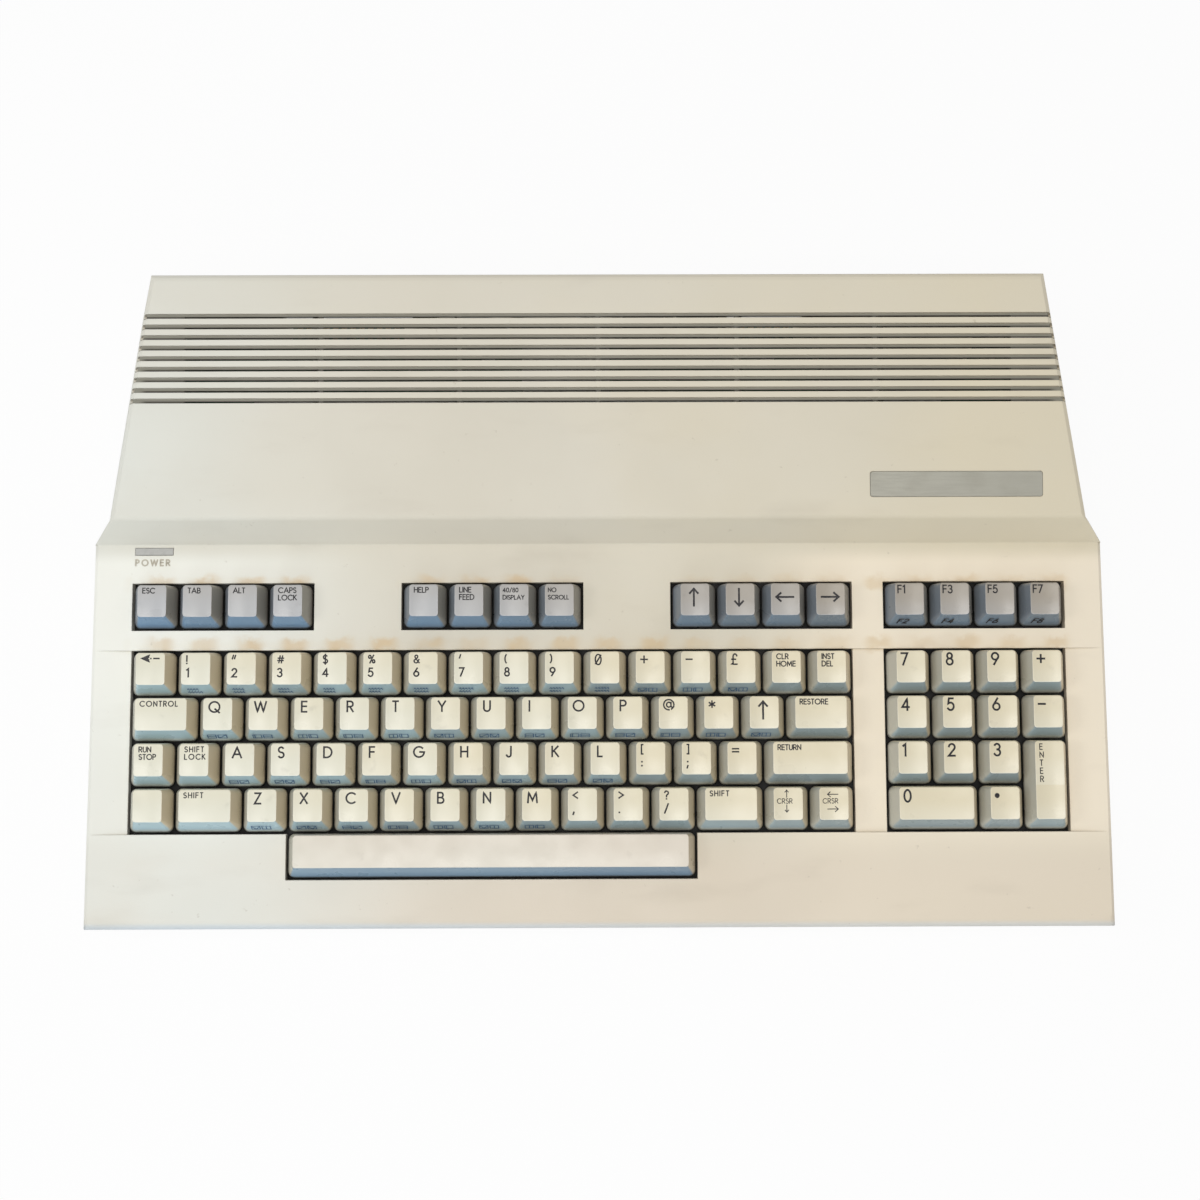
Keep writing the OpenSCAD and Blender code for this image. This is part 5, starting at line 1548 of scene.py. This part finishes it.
class KeyCap:
    """One moulded cap with its stems, and what is printed on it."""

    def __init__(self, key: Key, place: Frame) -> None:
        """Measures the cap.

        Args:
            key: its place, size and print.
            place: the keyboard's frame.
        """
        self.key = key
        self.place = place
        self.cx = (key.x + key.w / 2) * KEY.pitch
        self.cy = (key.y + key.d / 2) * KEY.pitch
        self.hw = key.w * KEY.pitch / 2 - KEY.gap / 2
        self.hd = key.d * KEY.pitch / 2 - KEY.gap / 2
        self.left = -self.hw + KEY.side
        self.back = self.hd - KEY.back
        self.fore = -self.hd + KEY.front

    @staticmethod
    def corner(t: float) -> float:
        """Returns the radius of the corners at share t of the height."""
        return KEY.skirt_r + (KEY.top_r - KEY.skirt_r) * t

    def top_z(self, x: np.ndarray) -> np.ndarray:
        """Returns the height of the dished top at x from the cap's middle."""
        u = np.clip(np.abs(x) / (self.hw - KEY.side), 0, 1)
        return KEY.height - KEY.dish * (1 - u * u)

    def outline(self, t: float, shrink: float, corner: float) -> np.ndarray:
        """Draws the cap's outline at share t of its height.

        Args:
            t: 0 at the skirt, 1 at the top.
            shrink: how far it is drawn in all round.
            corner: radius of its corners.

        Returns:
            Its points about the cap's middle.
        """
        side = KEY.side * t ** KEY.side_bend
        x0, x1 = -self.hw + side + shrink, self.hw - side - shrink
        y0 = -self.hd + KEY.front * t + shrink
        y1 = self.hd - KEY.back * t - shrink
        r = max(corner - shrink, CAP_MESH.least_r)
        points: list[Point] = []
        runs = int(CAP_MESH.deep * self.key.d), int(CAP_MESH.across * self.key.w)
        corners = [(x1 - r, y0 + r, -90), (x1 - r, y1 - r, 0), (x0 + r, y1 - r, 90), (x0 + r, y0 + r, 180)]
        for i, (cx, cy, a) in enumerate(corners):
            curve = arc(cx, cy, r, r, a, a + 90, CAP_MESH.corner)
            points += curve
            end = curve[-1]
            nx, ny, na = corners[(i + 1) % 4]
            start = arc(nx, ny, r, r, na, na + 90, 2)[0]
            n = runs[i % 2]
            points += [(end[0] + (start[0] - end[0]) * k / n, end[1] + (start[1] - end[1]) * k / n)
                       for k in range(1, n)]
        return np.array(points)

    def ring(self, t: float, shrink: float, drop: float, corner: float,
             flat: float | None = None) -> list[Spot]:
        """Draws one closed ring of the skin.

        Args:
            t: share of the cap's height.
            shrink: how far it is drawn in all round.
            drop: how far it lies below the dished top.
            corner: radius of its corners.
            flat: height of a level ring, or None for one that follows the dish.

        Returns:
            Its points in the keyboard's frame.
        """
        p = self.outline(t, shrink, corner)
        z = t * (self.top_z(p[:, 0]) - drop) if flat is None else np.full(len(p), flat)
        return [(self.cx + x, self.cy + y, h) for (x, y), h in zip(p, z)]

    def skin(self, mesh: MeshBuilder) -> None:
        """Adds the outside, from the foot of the skirt to the middle of the top, as one island.

        Args:
            mesh: what it is added to.
        """
        e = KEY.edge
        rings = [self.ring(0, KEY.foot_inset, 0, self.corner(0), 0.0),
                 self.ring(0, 0, 0, self.corner(0), KEY.foot_h)]
        rings += [self.ring(t, 0, e, self.corner(t)) for t in CAP_MESH.sides]
        for a in CAP_MESH.edge:
            s, c = math.sin(math.radians(a)), math.cos(math.radians(a))
            rings.append(self.ring(1, e * (1 - c), e * (1 - s), self.corner(1)))
        rim = self.outline(1, e, self.corner(1))
        middle = np.array([0.0, (self.back + self.fore) / 2])
        for share in CAP_MESH.top:
            p = middle + (rim - middle) * share
            rings.append([(self.cx + x, self.cy + y, z) for (x, y), z in zip(p, self.top_z(p[:, 0]))])
        mesh.loft(self.place, rings, ends=(False, True))

    def hollow(self, mesh: MeshBuilder) -> None:
        """Adds the inside: the walls, and the flat underside of the top.

        Args:
            mesh: what it is added to.
        """
        low, high = self.corner(0), self.corner(CAP_MESH.hollow_t)
        end = self.ring(KEY.ceiling / KEY.height, KEY.wall, 0, high, KEY.ceiling)
        feet = [self.ring(0, inset, 0, low, 0.0) for inset in (KEY.wall, KEY.foot_inset)]
        mesh.loft(self.place, [end, *feet], ends=(False, False))
        mesh.add(self.place.to_row(end), [tuple(range(len(end) - 1, -1, -1))], smooth=False)

    def build(self, mesh: MeshBuilder) -> None:
        """Adds the cap's skin, its hollow and its stems.

        Args:
            mesh: what they are added to.
        """
        self.skin(mesh)
        self.hollow(mesh)
        half = KEY.stem / 2
        for units in CAP_MESH.bar_stems if self.key.w > CAP_MESH.bar_w else (0,):
            x = self.cx + units * KEY.pitch
            mesh.box(self.place, (x - half, self.cy - half, KEY.stem_end),
                     (x + half, self.cy + half, KEY.ceiling), bevel=KEY.stem_edge)

    def on_top(self, x: np.ndarray, y: np.ndarray, lift: float) -> np.ndarray:
        """Returns points on the top for x and y from the cap's middle."""
        return np.stack([self.cx + x, self.cy + y, self.top_z(x) + lift], 1)

    def on_front(self, x: np.ndarray, y: np.ndarray, lift: float) -> np.ndarray:
        """Finds points on the front.

        Args:
            x: their places from the cap's middle.
            y: how far up the slope they are.
            lift: their height over the front.

        Returns:
            The points in the keyboard's frame.
        """
        slope = math.atan2(KEY.height, KEY.front)
        return np.stack([self.cx + x, self.cy - self.hd + y * math.cos(slope) - lift * math.sin(slope),
                         y * math.sin(slope) + lift * math.cos(slope)], 1)

    def settings(self) -> list[tuple[str, Setting]]:
        """Sets the legend.

        Returns:
            Each line of the top, and how it is set.
        """
        lines, kind = self.key.lines, self.key.legend
        if kind is Legend.BARE:
            return []
        first = lines[0]
        if kind is Legend.WORD:
            long = max(map(len, lines)) > PRINT.word_length and self.key.w < PRINT.wide_cap
            word = PRINT.long_word if long else PRINT.word
            if first in PRINT.spaced:
                word = replace(word, gap=PRINT.spaced_gap)
            return [(t, word.lower(PRINT.word_pitch * i)) for i, t in enumerate(lines)]
        if kind is Legend.COLUMN:
            return [(t, PRINT.column.lower(PRINT.column_pitch * i)) for i, t in enumerate(first)]
        if kind is Legend.PAIR:
            return list(zip(lines, PRINT.pair))
        if kind is Legend.CURSOR:
            upper, lower = PRINT.level_cursor if first == "←" else PRINT.upright_cursor
            return list(zip(lines, (upper, PRINT.cursor_word, lower)))
        single = {
            Legend.LETTER: PRINT.wide_letter if first in PRINT.wide_letters else PRINT.letter,
            Legend.NUMBER: PRINT.number,
            Legend.FUNCTION: PRINT.function,
            Legend.ARROW: PRINT.upright_arrow if first in "↑↓" else PRINT.level_arrow,
            Legend.SIGN: PRINT.large_sign if first == "«" else PRINT.sign,
        }
        return [(first, single[kind])]

    def texts(self) -> list[Lettering]:
        """Returns the lines printed on the cap's top."""
        return [Lettering(text, self.left + s.right, self.back - s.down, s.size, s.weight, gap=s.gap)
                for text, s in self.settings()]

    def front_texts(self) -> list[Lettering]:
        """Returns the text on the cap's front, if it has one."""
        return [Lettering(text, self.left + PRINT.front_right, PRINT.front_up, PRINT.front_size,
                          PRINT.front_weight, PRINT.front_lean) for text in [self.key.front] if text]

    def pictures(self, number: int) -> list[Stroke]:
        """Draws two boxes, each with one line through it.

        Args:
            number: the key's own number, which picks the lines.

        Returns:
            The strokes.
        """
        strokes: list[Stroke] = []
        y0, y1 = PRINT.picture_z
        for i in (0, 1):
            x0 = self.left + PRINT.picture_left + PRINT.picture_pitch * i
            x1 = x0 + PRINT.picture_w
            mx, my, bar = (x0 + x1) / 2, (y0 + y1) / 2, x0 + PRINT.picture_bar
            lines = [[(x0, y0), (x1, y1)], [(mx, y0), (mx, y1)], [(x0, my), (x1, my)],
                     [(x0, y1), (mx, y0), (x1, y1)], [(bar, y0), (bar, y1)]]
            box = [(x0, y0), (x1, y0), (x1, y1), (x0, y1), (x0, y0)]
            strokes += [box, lines[(number + 3 * i) % len(lines)]]
        return strokes

    def dashes(self, number: int) -> list[Stroke]:
        """Draws two rows of small dashes.

        Args:
            number: the key's own number, which gives the rows their lengths.

        Returns:
            The strokes.
        """
        strokes: list[Stroke] = []
        upper, lower = PRINT.dash_widths
        for i, width in enumerate((upper + number % 3, lower - number % 2)):
            y = PRINT.dash_z - PRINT.dash_drop * i
            x = self.left + PRINT.dash_left
            while x < self.left + PRINT.dash_left + width:
                strokes.append([(x + u, y + v) for u, v in PRINT.dash])
                x += PRINT.dash_pitch
        return strokes

    def front_marks(self) -> list[Stroke]:
        """Draws the small signs on the cap's front, other ones on each key.

        Returns:
            Their strokes.
        """
        number = int(self.cx * 3 + self.cy * 7)
        draw = {FrontMark.PICTURES: self.pictures, FrontMark.LINES: self.dashes}.get(self.key.mark)
        return draw(number) if draw else []


@dataclass(frozen=True)
class Keyboard:
    """All the key caps, one piece for each CAD node of keys."""

    INK: ClassVar[int] = 1
    BLUE_INK: ClassVar[int] = 2

    finishes: Finishes

    def add(self, mesh: MeshBuilder, cap: KeyCap) -> None:
        """Adds one cap and its print.

        Args:
            mesh: what they are added to.
            cap: the cap.
        """
        cap.build(mesh)
        for texts, surface in ((cap.texts(), cap.on_top), (cap.front_texts(), cap.on_front)):
            for text in texts:
                ink(mesh, cap.place, text.strokes(), text.weight, surface, self.INK)
        ink(mesh, cap.place, cap.front_marks(), PRINT.mark_weight, cap.on_front, self.BLUE_INK)

    def build(self) -> None:
        """Adds the pieces."""
        place = keyboard_frame()
        for node, keys in KEYS.items():
            mesh = MeshBuilder()
            for key in keys:
                self.add(mesh, KeyCap(key, place))
            lavender = node in LAVENDER_KEYS
            tint = "lavender" if lavender else "bar" if node == "space_bar" else "cream"
            materials = [self.finishes.get(n) for n in (tint, "ink", "blue_ink")]
            mesh.piece(node + ".cap", node, materials, [node])


@dataclass(frozen=True)
class BarSprings:
    """The coil springs under the space bar."""

    finishes: Finishes
    offset: float = 28.0
    radius: float = 3.0
    wire: float = 0.4
    play: float = 0.1
    turns: int = 4
    steps: int = 20
    wire_sides: int = 8

    def coil(self, middle: Sequence[float], height: float) -> list[list[Spot]]:
        """Winds one coil of wire.

        Args:
            middle: the point that it stands on.
            height: its height between the middles of its end turns.

        Returns:
            The rings of the wire.
        """
        rings = []
        count = self.turns * self.steps
        for i in range(count + 1):
            a = 2 * math.pi * i / self.steps
            rise = height * i / count
            reach = [(self.radius + self.wire * math.cos(b), rise - self.wire * math.sin(b))
                     for b in np.linspace(0, 2 * math.pi, self.wire_sides, endpoint=False)]
            rings.append([(middle[0] + r * math.cos(a), middle[1] + r * math.sin(a), middle[2] + z)
                          for r, z in reach])
        return rings

    def build(self) -> None:
        """Adds the springs as one piece."""
        mesh = MeshBuilder()
        place = keyboard_frame()
        bar = KEYS["space_bar"][0]
        x, y = (bar.x + bar.w / 2) * KEY.pitch, (bar.y + bar.d / 2) * KEY.pitch
        low = self.wire + self.play
        foot = -KEY.plate_drop
        height = KEY.ceiling - foot - 2 * low
        for side in (-self.offset, self.offset):
            mesh.loft(place, self.coil((x + side, y, foot + low), height))
        springs = mesh.piece("space_bar_springs.coils", "case", [self.finishes.get("steel")],
                             ["space_bar_springs"])
        base, above = place.to_row([(x, y, foot), (x, y, foot + 1)])
        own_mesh(springs)


# ---- Case and sockets ----

@dataclass(frozen=True)
class CaseWord:
    """The raised word under the power lens."""

    finishes: Finishes
    word: Lettering = Lettering("POWER", 0.6, 113.0, 2.5, 0.46, gap=0.52)
    sunk: float = 0.05
    raised: float = 0.22

    def build(self) -> None:
        """Adds the word as one piece."""
        mesh = MeshBuilder()
        place = keyboard_frame()
        for stroke in self.word.strokes():
            flat, faces = ribbon(stroke, self.word.weight)
            n = len(flat)
            half = n // 2
            low, high = ([(x, y, PANEL_OVER_SKIRT + z) for x, y in flat] for z in (-self.sunk, self.raised))
            sides: list[tuple[int, ...]] = []
            for i in range(half - 1):
                sides.append((i, i + 1, n + i + 1, n + i))
                sides.append((half + i + 1, half + i, n + half + i, n + half + i + 1))
            sides += [(half, 0, n, n + half), (half - 1, n - 1, 2 * n - 1, n + half - 1)]
            tops = [tuple(n + i for i in f) for f in faces]
            mesh.add(place.to_row(low + high), tops + sides, smooth=False)
        mesh.piece("power_word", "case", [self.finishes.get("word")])


@dataclass(frozen=True)
class Sockets:
    """Pins and contacts in the sockets.

    Attributes:
        joystick_y, power_y: middles of the side sockets behind the step's top.
        pin_pitch, pin_row: joystick pins apart in a row, and each row from the middle.
        pin_x, power_x: how far in from the side bay pins start and end.
        power_pins: places of the power socket's pins about its middle.
        edges: middle and count of the contacts of each edge connector.
        edge_y, port_y: where contacts start and end.
        edge_half, port_half: half the width of a contact.
        port_z: heights of the cartridge port's two rows over the board.
    """

    finishes: Finishes
    joystick_y: Point = (15, 39)
    pin_pitch: float = 2.77
    pin_row: float = 1.42
    pin_x: Point = (6.6, 1.4)
    pin_r: float = 0.5
    power_y: float = 86
    power_z: float = 20.8
    power_pins: tuple[Point, ...] = ((-2.4, 2.4), (2.4, 2.4), (-2.4, -2.4), (2.4, -2.4), (0, 0))
    power_x: Point = (1.0, 0.42)
    power_r: float = 0.9
    edges: tuple[tuple[float, int], ...] = ((75, 6), (-112, 12))
    edge_pitch: float = 3.96
    edge_y: Point = (124.5, 133.6)
    edge_half: float = 1.2
    plating: float = 0.06
    port: tuple[float, int] = (130, 22)
    port_pitch: float = 2.54
    port_y: Point = (103, 110.4)
    port_half: float = 0.6
    port_z: Point = (5.9, 7.7)
    port_t: float = 0.4

    def spread(self, count: int, pitch: float) -> list[float]:
        """Returns count places about zero, one pitch apart."""
        return [(i - (count - 1) / 2) * pitch for i in range(count)]

    def pins(self) -> None:
        """Adds the pins of the joystick sockets and the power socket as one piece."""
        mesh = MeshBuilder()
        spots = [(u, v) for count, v in ((5, self.pin_row), (4, -self.pin_row))
                 for u in self.spread(count, self.pin_pitch)]
        start, end = (CASE.bay_x - x for x in self.pin_x)
        for behind in self.joystick_y:
            for u, v in spots:
                y, z = CASE.step_top_y + behind + u, CASE.side_z + v
                mesh.rod(LEVEL, (start, y, z), (end, y, z), self.pin_r, tip=self.pin_r)
        start, end = (CASE.bay_x - x for x in self.power_x)
        for u, v in self.power_pins:
            y, z = CASE.step_top_y + self.power_y + u, self.power_z + v
            mesh.rod(LEVEL, (start, y, z), (end, y, z), self.power_r)
        mesh.piece("socket_pins", "case", [self.finishes.get("gold")])

    def contacts(self) -> None:
        """Adds the plated edges of the board and the cartridge port's contacts as one piece."""
        mesh = MeshBuilder()
        y0, y1 = self.edge_y
        for x, count in self.edges:
            for at in self.spread(count, self.edge_pitch):
                for z in (CASE.board_top, CASE.board_top - CASE.board_t - self.plating):
                    mesh.box(LEVEL, (x + at - self.edge_half, y0, z),
                             (x + at + self.edge_half, y1, z + self.plating))
        y0, y1 = self.port_y
        x, count = self.port
        for at in self.spread(count, self.port_pitch):
            for z in (CASE.board_top + up for up in self.port_z):
                mesh.box(LEVEL, (x + at - self.port_half, y0, z),
                         (x + at + self.port_half, y1, z + self.port_t))
        mesh.piece("edge_contacts", "case", [self.finishes.get("gold")])

    def build(self) -> None:
        """Adds both pieces."""
        self.pins()
        self.contacts()


@dataclass(frozen=True)
class ChipRow:
    """A row of chips of one size on the main board.

    Attributes:
        chips: how many there are.
        x, y: middle of the leftmost.
        pitch: from one to the next.
        length: length of each chip's rows of legs.
        legs: how many legs a row has.
        width: width of each chip.
    """

    chips: int
    x: float
    y: float
    pitch: float
    length: float
    legs: int
    width: float = 14


@dataclass(frozen=True)
class BoardParts:
    """Small parts on the main board that show through the rear windows."""

    finishes: Finishes
    rows: tuple[ChipRow, ...] = (ChipRow(5, -112, 53, 56, 51, 20), ChipRow(6, -110, 71, 44, 37, 14))
    leg_half: float = 0.25
    leg_off: float = 0.3
    leg_h: float = 2.2
    can_x: tuple[float, ...] = (-84, -76, 60, 92)
    can_y: float = 112
    can_h: float = 9
    can_r: float = 2.6
    can_sides: int = 24
    can_edge: float = 0.5

    def legs(self) -> None:
        """Adds the legs of all the chips as one piece."""
        mesh = MeshBuilder()
        z, half = CASE.board_top, self.leg_half
        for line in self.rows:
            for x in (line.x + line.pitch * i for i in range(line.chips)):
                for i in range(line.legs):
                    at = x + (i - (line.legs - 1) / 2) * line.length / line.legs
                    for side in (-1, 1):
                        y = line.y + side * (line.width / 2 + self.leg_off)
                        mesh.box(LEVEL, (at - half, y - half, z), (at + half, y + half, z + self.leg_h))
        mesh.piece("chip_legs", "case", [self.finishes.get("tin")])

    def cans(self) -> None:
        """Adds the capacitors as one piece."""
        mesh = MeshBuilder()
        z = CASE.board_top
        for x in self.can_x:
            mesh.rod(LEVEL, (x, self.can_y, z), (x, self.can_y, z + self.can_h), self.can_r,
                     sides=self.can_sides, tip=self.can_edge)
        mesh.piece("capacitors", "case", [self.finishes.get("switch")])

    def build(self) -> None:
        """Adds both pieces."""
        self.legs()
        self.cans()


NODE_FINISH = {
    "top_case": "case", "bottom_case": "case", "rubber_feet": "rubber", "case_screws": "steel",
    "badge_plate": "badge", "power_lens": "lens", "power_led": "led",
    "keyboard_frame": "frame", "keyboard_board": "board", "keyboard_cable": "cable",
    "stabiliser_wire": "steel",
    "main_board": "board", "board_chips": "chip", "board_shield": "tin",
    "expansion_port": "black", "din_sockets": "black", "rgb_socket": "tin", "rf_modulator": "tin",
    "joystick_sockets": "black", "power_socket": "black",
    "switch_housing": "black", "power_rocker": "switch", "reset_button": "switch",
    "channel_switch": "switch",
}


def paint_nodes(finishes: Finishes) -> None:
    """Gives every CAD node that stays in view its finish.

    Args:
        finishes: all the finishes.
    """
    for node, finish in NODE_FINISH.items():
        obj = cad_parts[node]
        obj.data.materials.clear()
        obj.data.materials.append(finishes.get(finish))
        log.info("painted %s with %s", node, finish)


# ---- Studio ----

@dataclass(frozen=True)
class Lamp:
    """A soft lamp: where it stands, its size, strength and tint, and what it is turned to."""

    name: str
    place: Spot
    size: float
    power: float
    tint: Color = (1.0, 1.0, 1.0)
    aim: Spot = (0, 0, 0.03)

    def build(self) -> None:
        """Adds the lamp."""
        light = bpy.data.lights.new(self.name, "AREA")
        light.shape, light.size, light.energy, light.color = "DISK", self.size, self.power, self.tint
        obj = bpy.data.objects.new(self.name, light)
        obj.location = self.place
        obj.rotation_euler = (Vector(self.aim) - Vector(self.place)).to_track_quat("-Z", "Y").to_euler()
        bpy.context.scene.collection.objects.link(obj)


@dataclass(frozen=True)
class Camera:
    """The camera over the keyboard: its place in metres, its turn in degrees and its lens."""

    place: Spot = (-0.00296, -0.13297, 0.73967)
    turn: Spot = (10.73, -0.237, -0.226)
    focal_px: float = 1691.3
    picture_px: float = 1200.0
    sensor: float = 36.0
    near: float = 0.01
    far: float = 20

    def build(self) -> None:
        """Adds the camera and looks through it."""
        data = bpy.data.cameras.new("camera")
        data.sensor_width = self.sensor
        data.sensor_fit = "AUTO"
        data.lens = self.focal_px / self.picture_px * self.sensor
        data.clip_start, data.clip_end = self.near, self.far
        obj = bpy.data.objects.new("camera", data)
        obj.location = self.place
        obj.rotation_euler = Euler([math.radians(a) for a in self.turn], "XYZ")
        bpy.context.scene.collection.objects.link(obj)
        bpy.context.scene.camera = obj


@dataclass(frozen=True)
class Studio:
    """Floor, backdrop, lamps and camera. The shade's fades have their ends in metres."""

    lamps: tuple[Lamp, ...] = (
        Lamp("top_light", (-0.10, -0.25, 1.45), 0.9, 9.0, (1.0, 0.975, 0.93)),
        Lamp("side_light", (-1.15, -0.10, 0.95), 0.5, 2.6, (1.0, 0.985, 0.95)),
        Lamp("front_fill", (-0.45, -1.30, 0.55), 0.8, 2.2, (0.72, 0.87, 1.0)),
    )
    sky: Color = (0.95, 0.97, 1.0)
    sky_strength: float = 0.44
    floor_half: float = 6.0
    floor_tones: tuple[Color, Color] = ((0.86, 0.86, 0.86), (0.88, 0.88, 0.88))
    floor_patches: Patches = Patches(Cloud(300, 2), Fade(0.3, 0.7))
    floor_roughness: float = 0.9
    floor_specular: float = 0.1
    floor_white: float = 0.92
    shade_across: Fade = Fade(0.160, 0.175, 1.0, 0.0)
    shade_front: Fade = Fade(-0.115, -0.105)
    shade_back: Fade = Fade(0.140, 0.156, 1.0, 0.0)

    def floor(self) -> None:
        """Lays the floor: white all round, but in shade under the case, where the slots show it."""
        mesh = bpy.data.meshes.new("floor")
        h = self.floor_half
        mesh.from_pydata([(-h, -h, 0), (h, -h, 0), (h, h, 0), (-h, h, 0)], [], [(0, 1, 2, 3)])
        floor = bpy.data.objects.new("floor", mesh)
        bpy.context.scene.collection.objects.link(floor)
        g = Graph(bpy.data.materials.new("floor"))
        tone = g.mix(g.patches(self.floor_patches), *self.floor_tones)
        g.surface(tone, self.floor_roughness, specular=self.floor_specular)
        y = g.axis("Y")
        deep = g.times(g.ramp(y, self.shade_front), g.ramp(y, self.shade_back))
        shade = g.times(g.ramp(g.off(g.axis("X"), 0.0), self.shade_across), deep)
        g.whiten(g.times(g.minus(1.0, shade), self.floor_white))
        mesh.materials.append(g.holder)

    def backdrop(self) -> None:
        """Hangs the sky, which lights the object but looks plain white."""
        world = bpy.data.worlds.new("backdrop")
        bpy.context.scene.world = world
        g = Graph(world)
        lit = g.node("ShaderNodeBackground")
        g.feed(lit.inputs["Color"], self.sky)
        g.feed(lit.inputs["Strength"], self.sky_strength)
        g.feed(g.out.inputs["Surface"], lit.outputs[0])
        g.whiten(1.0)

    def build(self) -> None:
        """Adds everything that isn't the object."""
        self.floor()
        self.backdrop()
        for lamp in self.lamps:
            lamp.build()
        Camera().build()
        bpy.context.scene.view_settings.view_transform = "Standard"


def main() -> None:
    """Builds the looks round the CAD model."""
    logging.basicConfig(level=logging.INFO, format="%(name)s: %(message)s")
    finishes = Finishes()
    paint_nodes(finishes)
    for assembly in (Keyboard, BarSprings, CaseWord, Sockets, BoardParts):
        assembly(finishes).build()
    Studio().build()


if __name__ == "__main__":
    main()
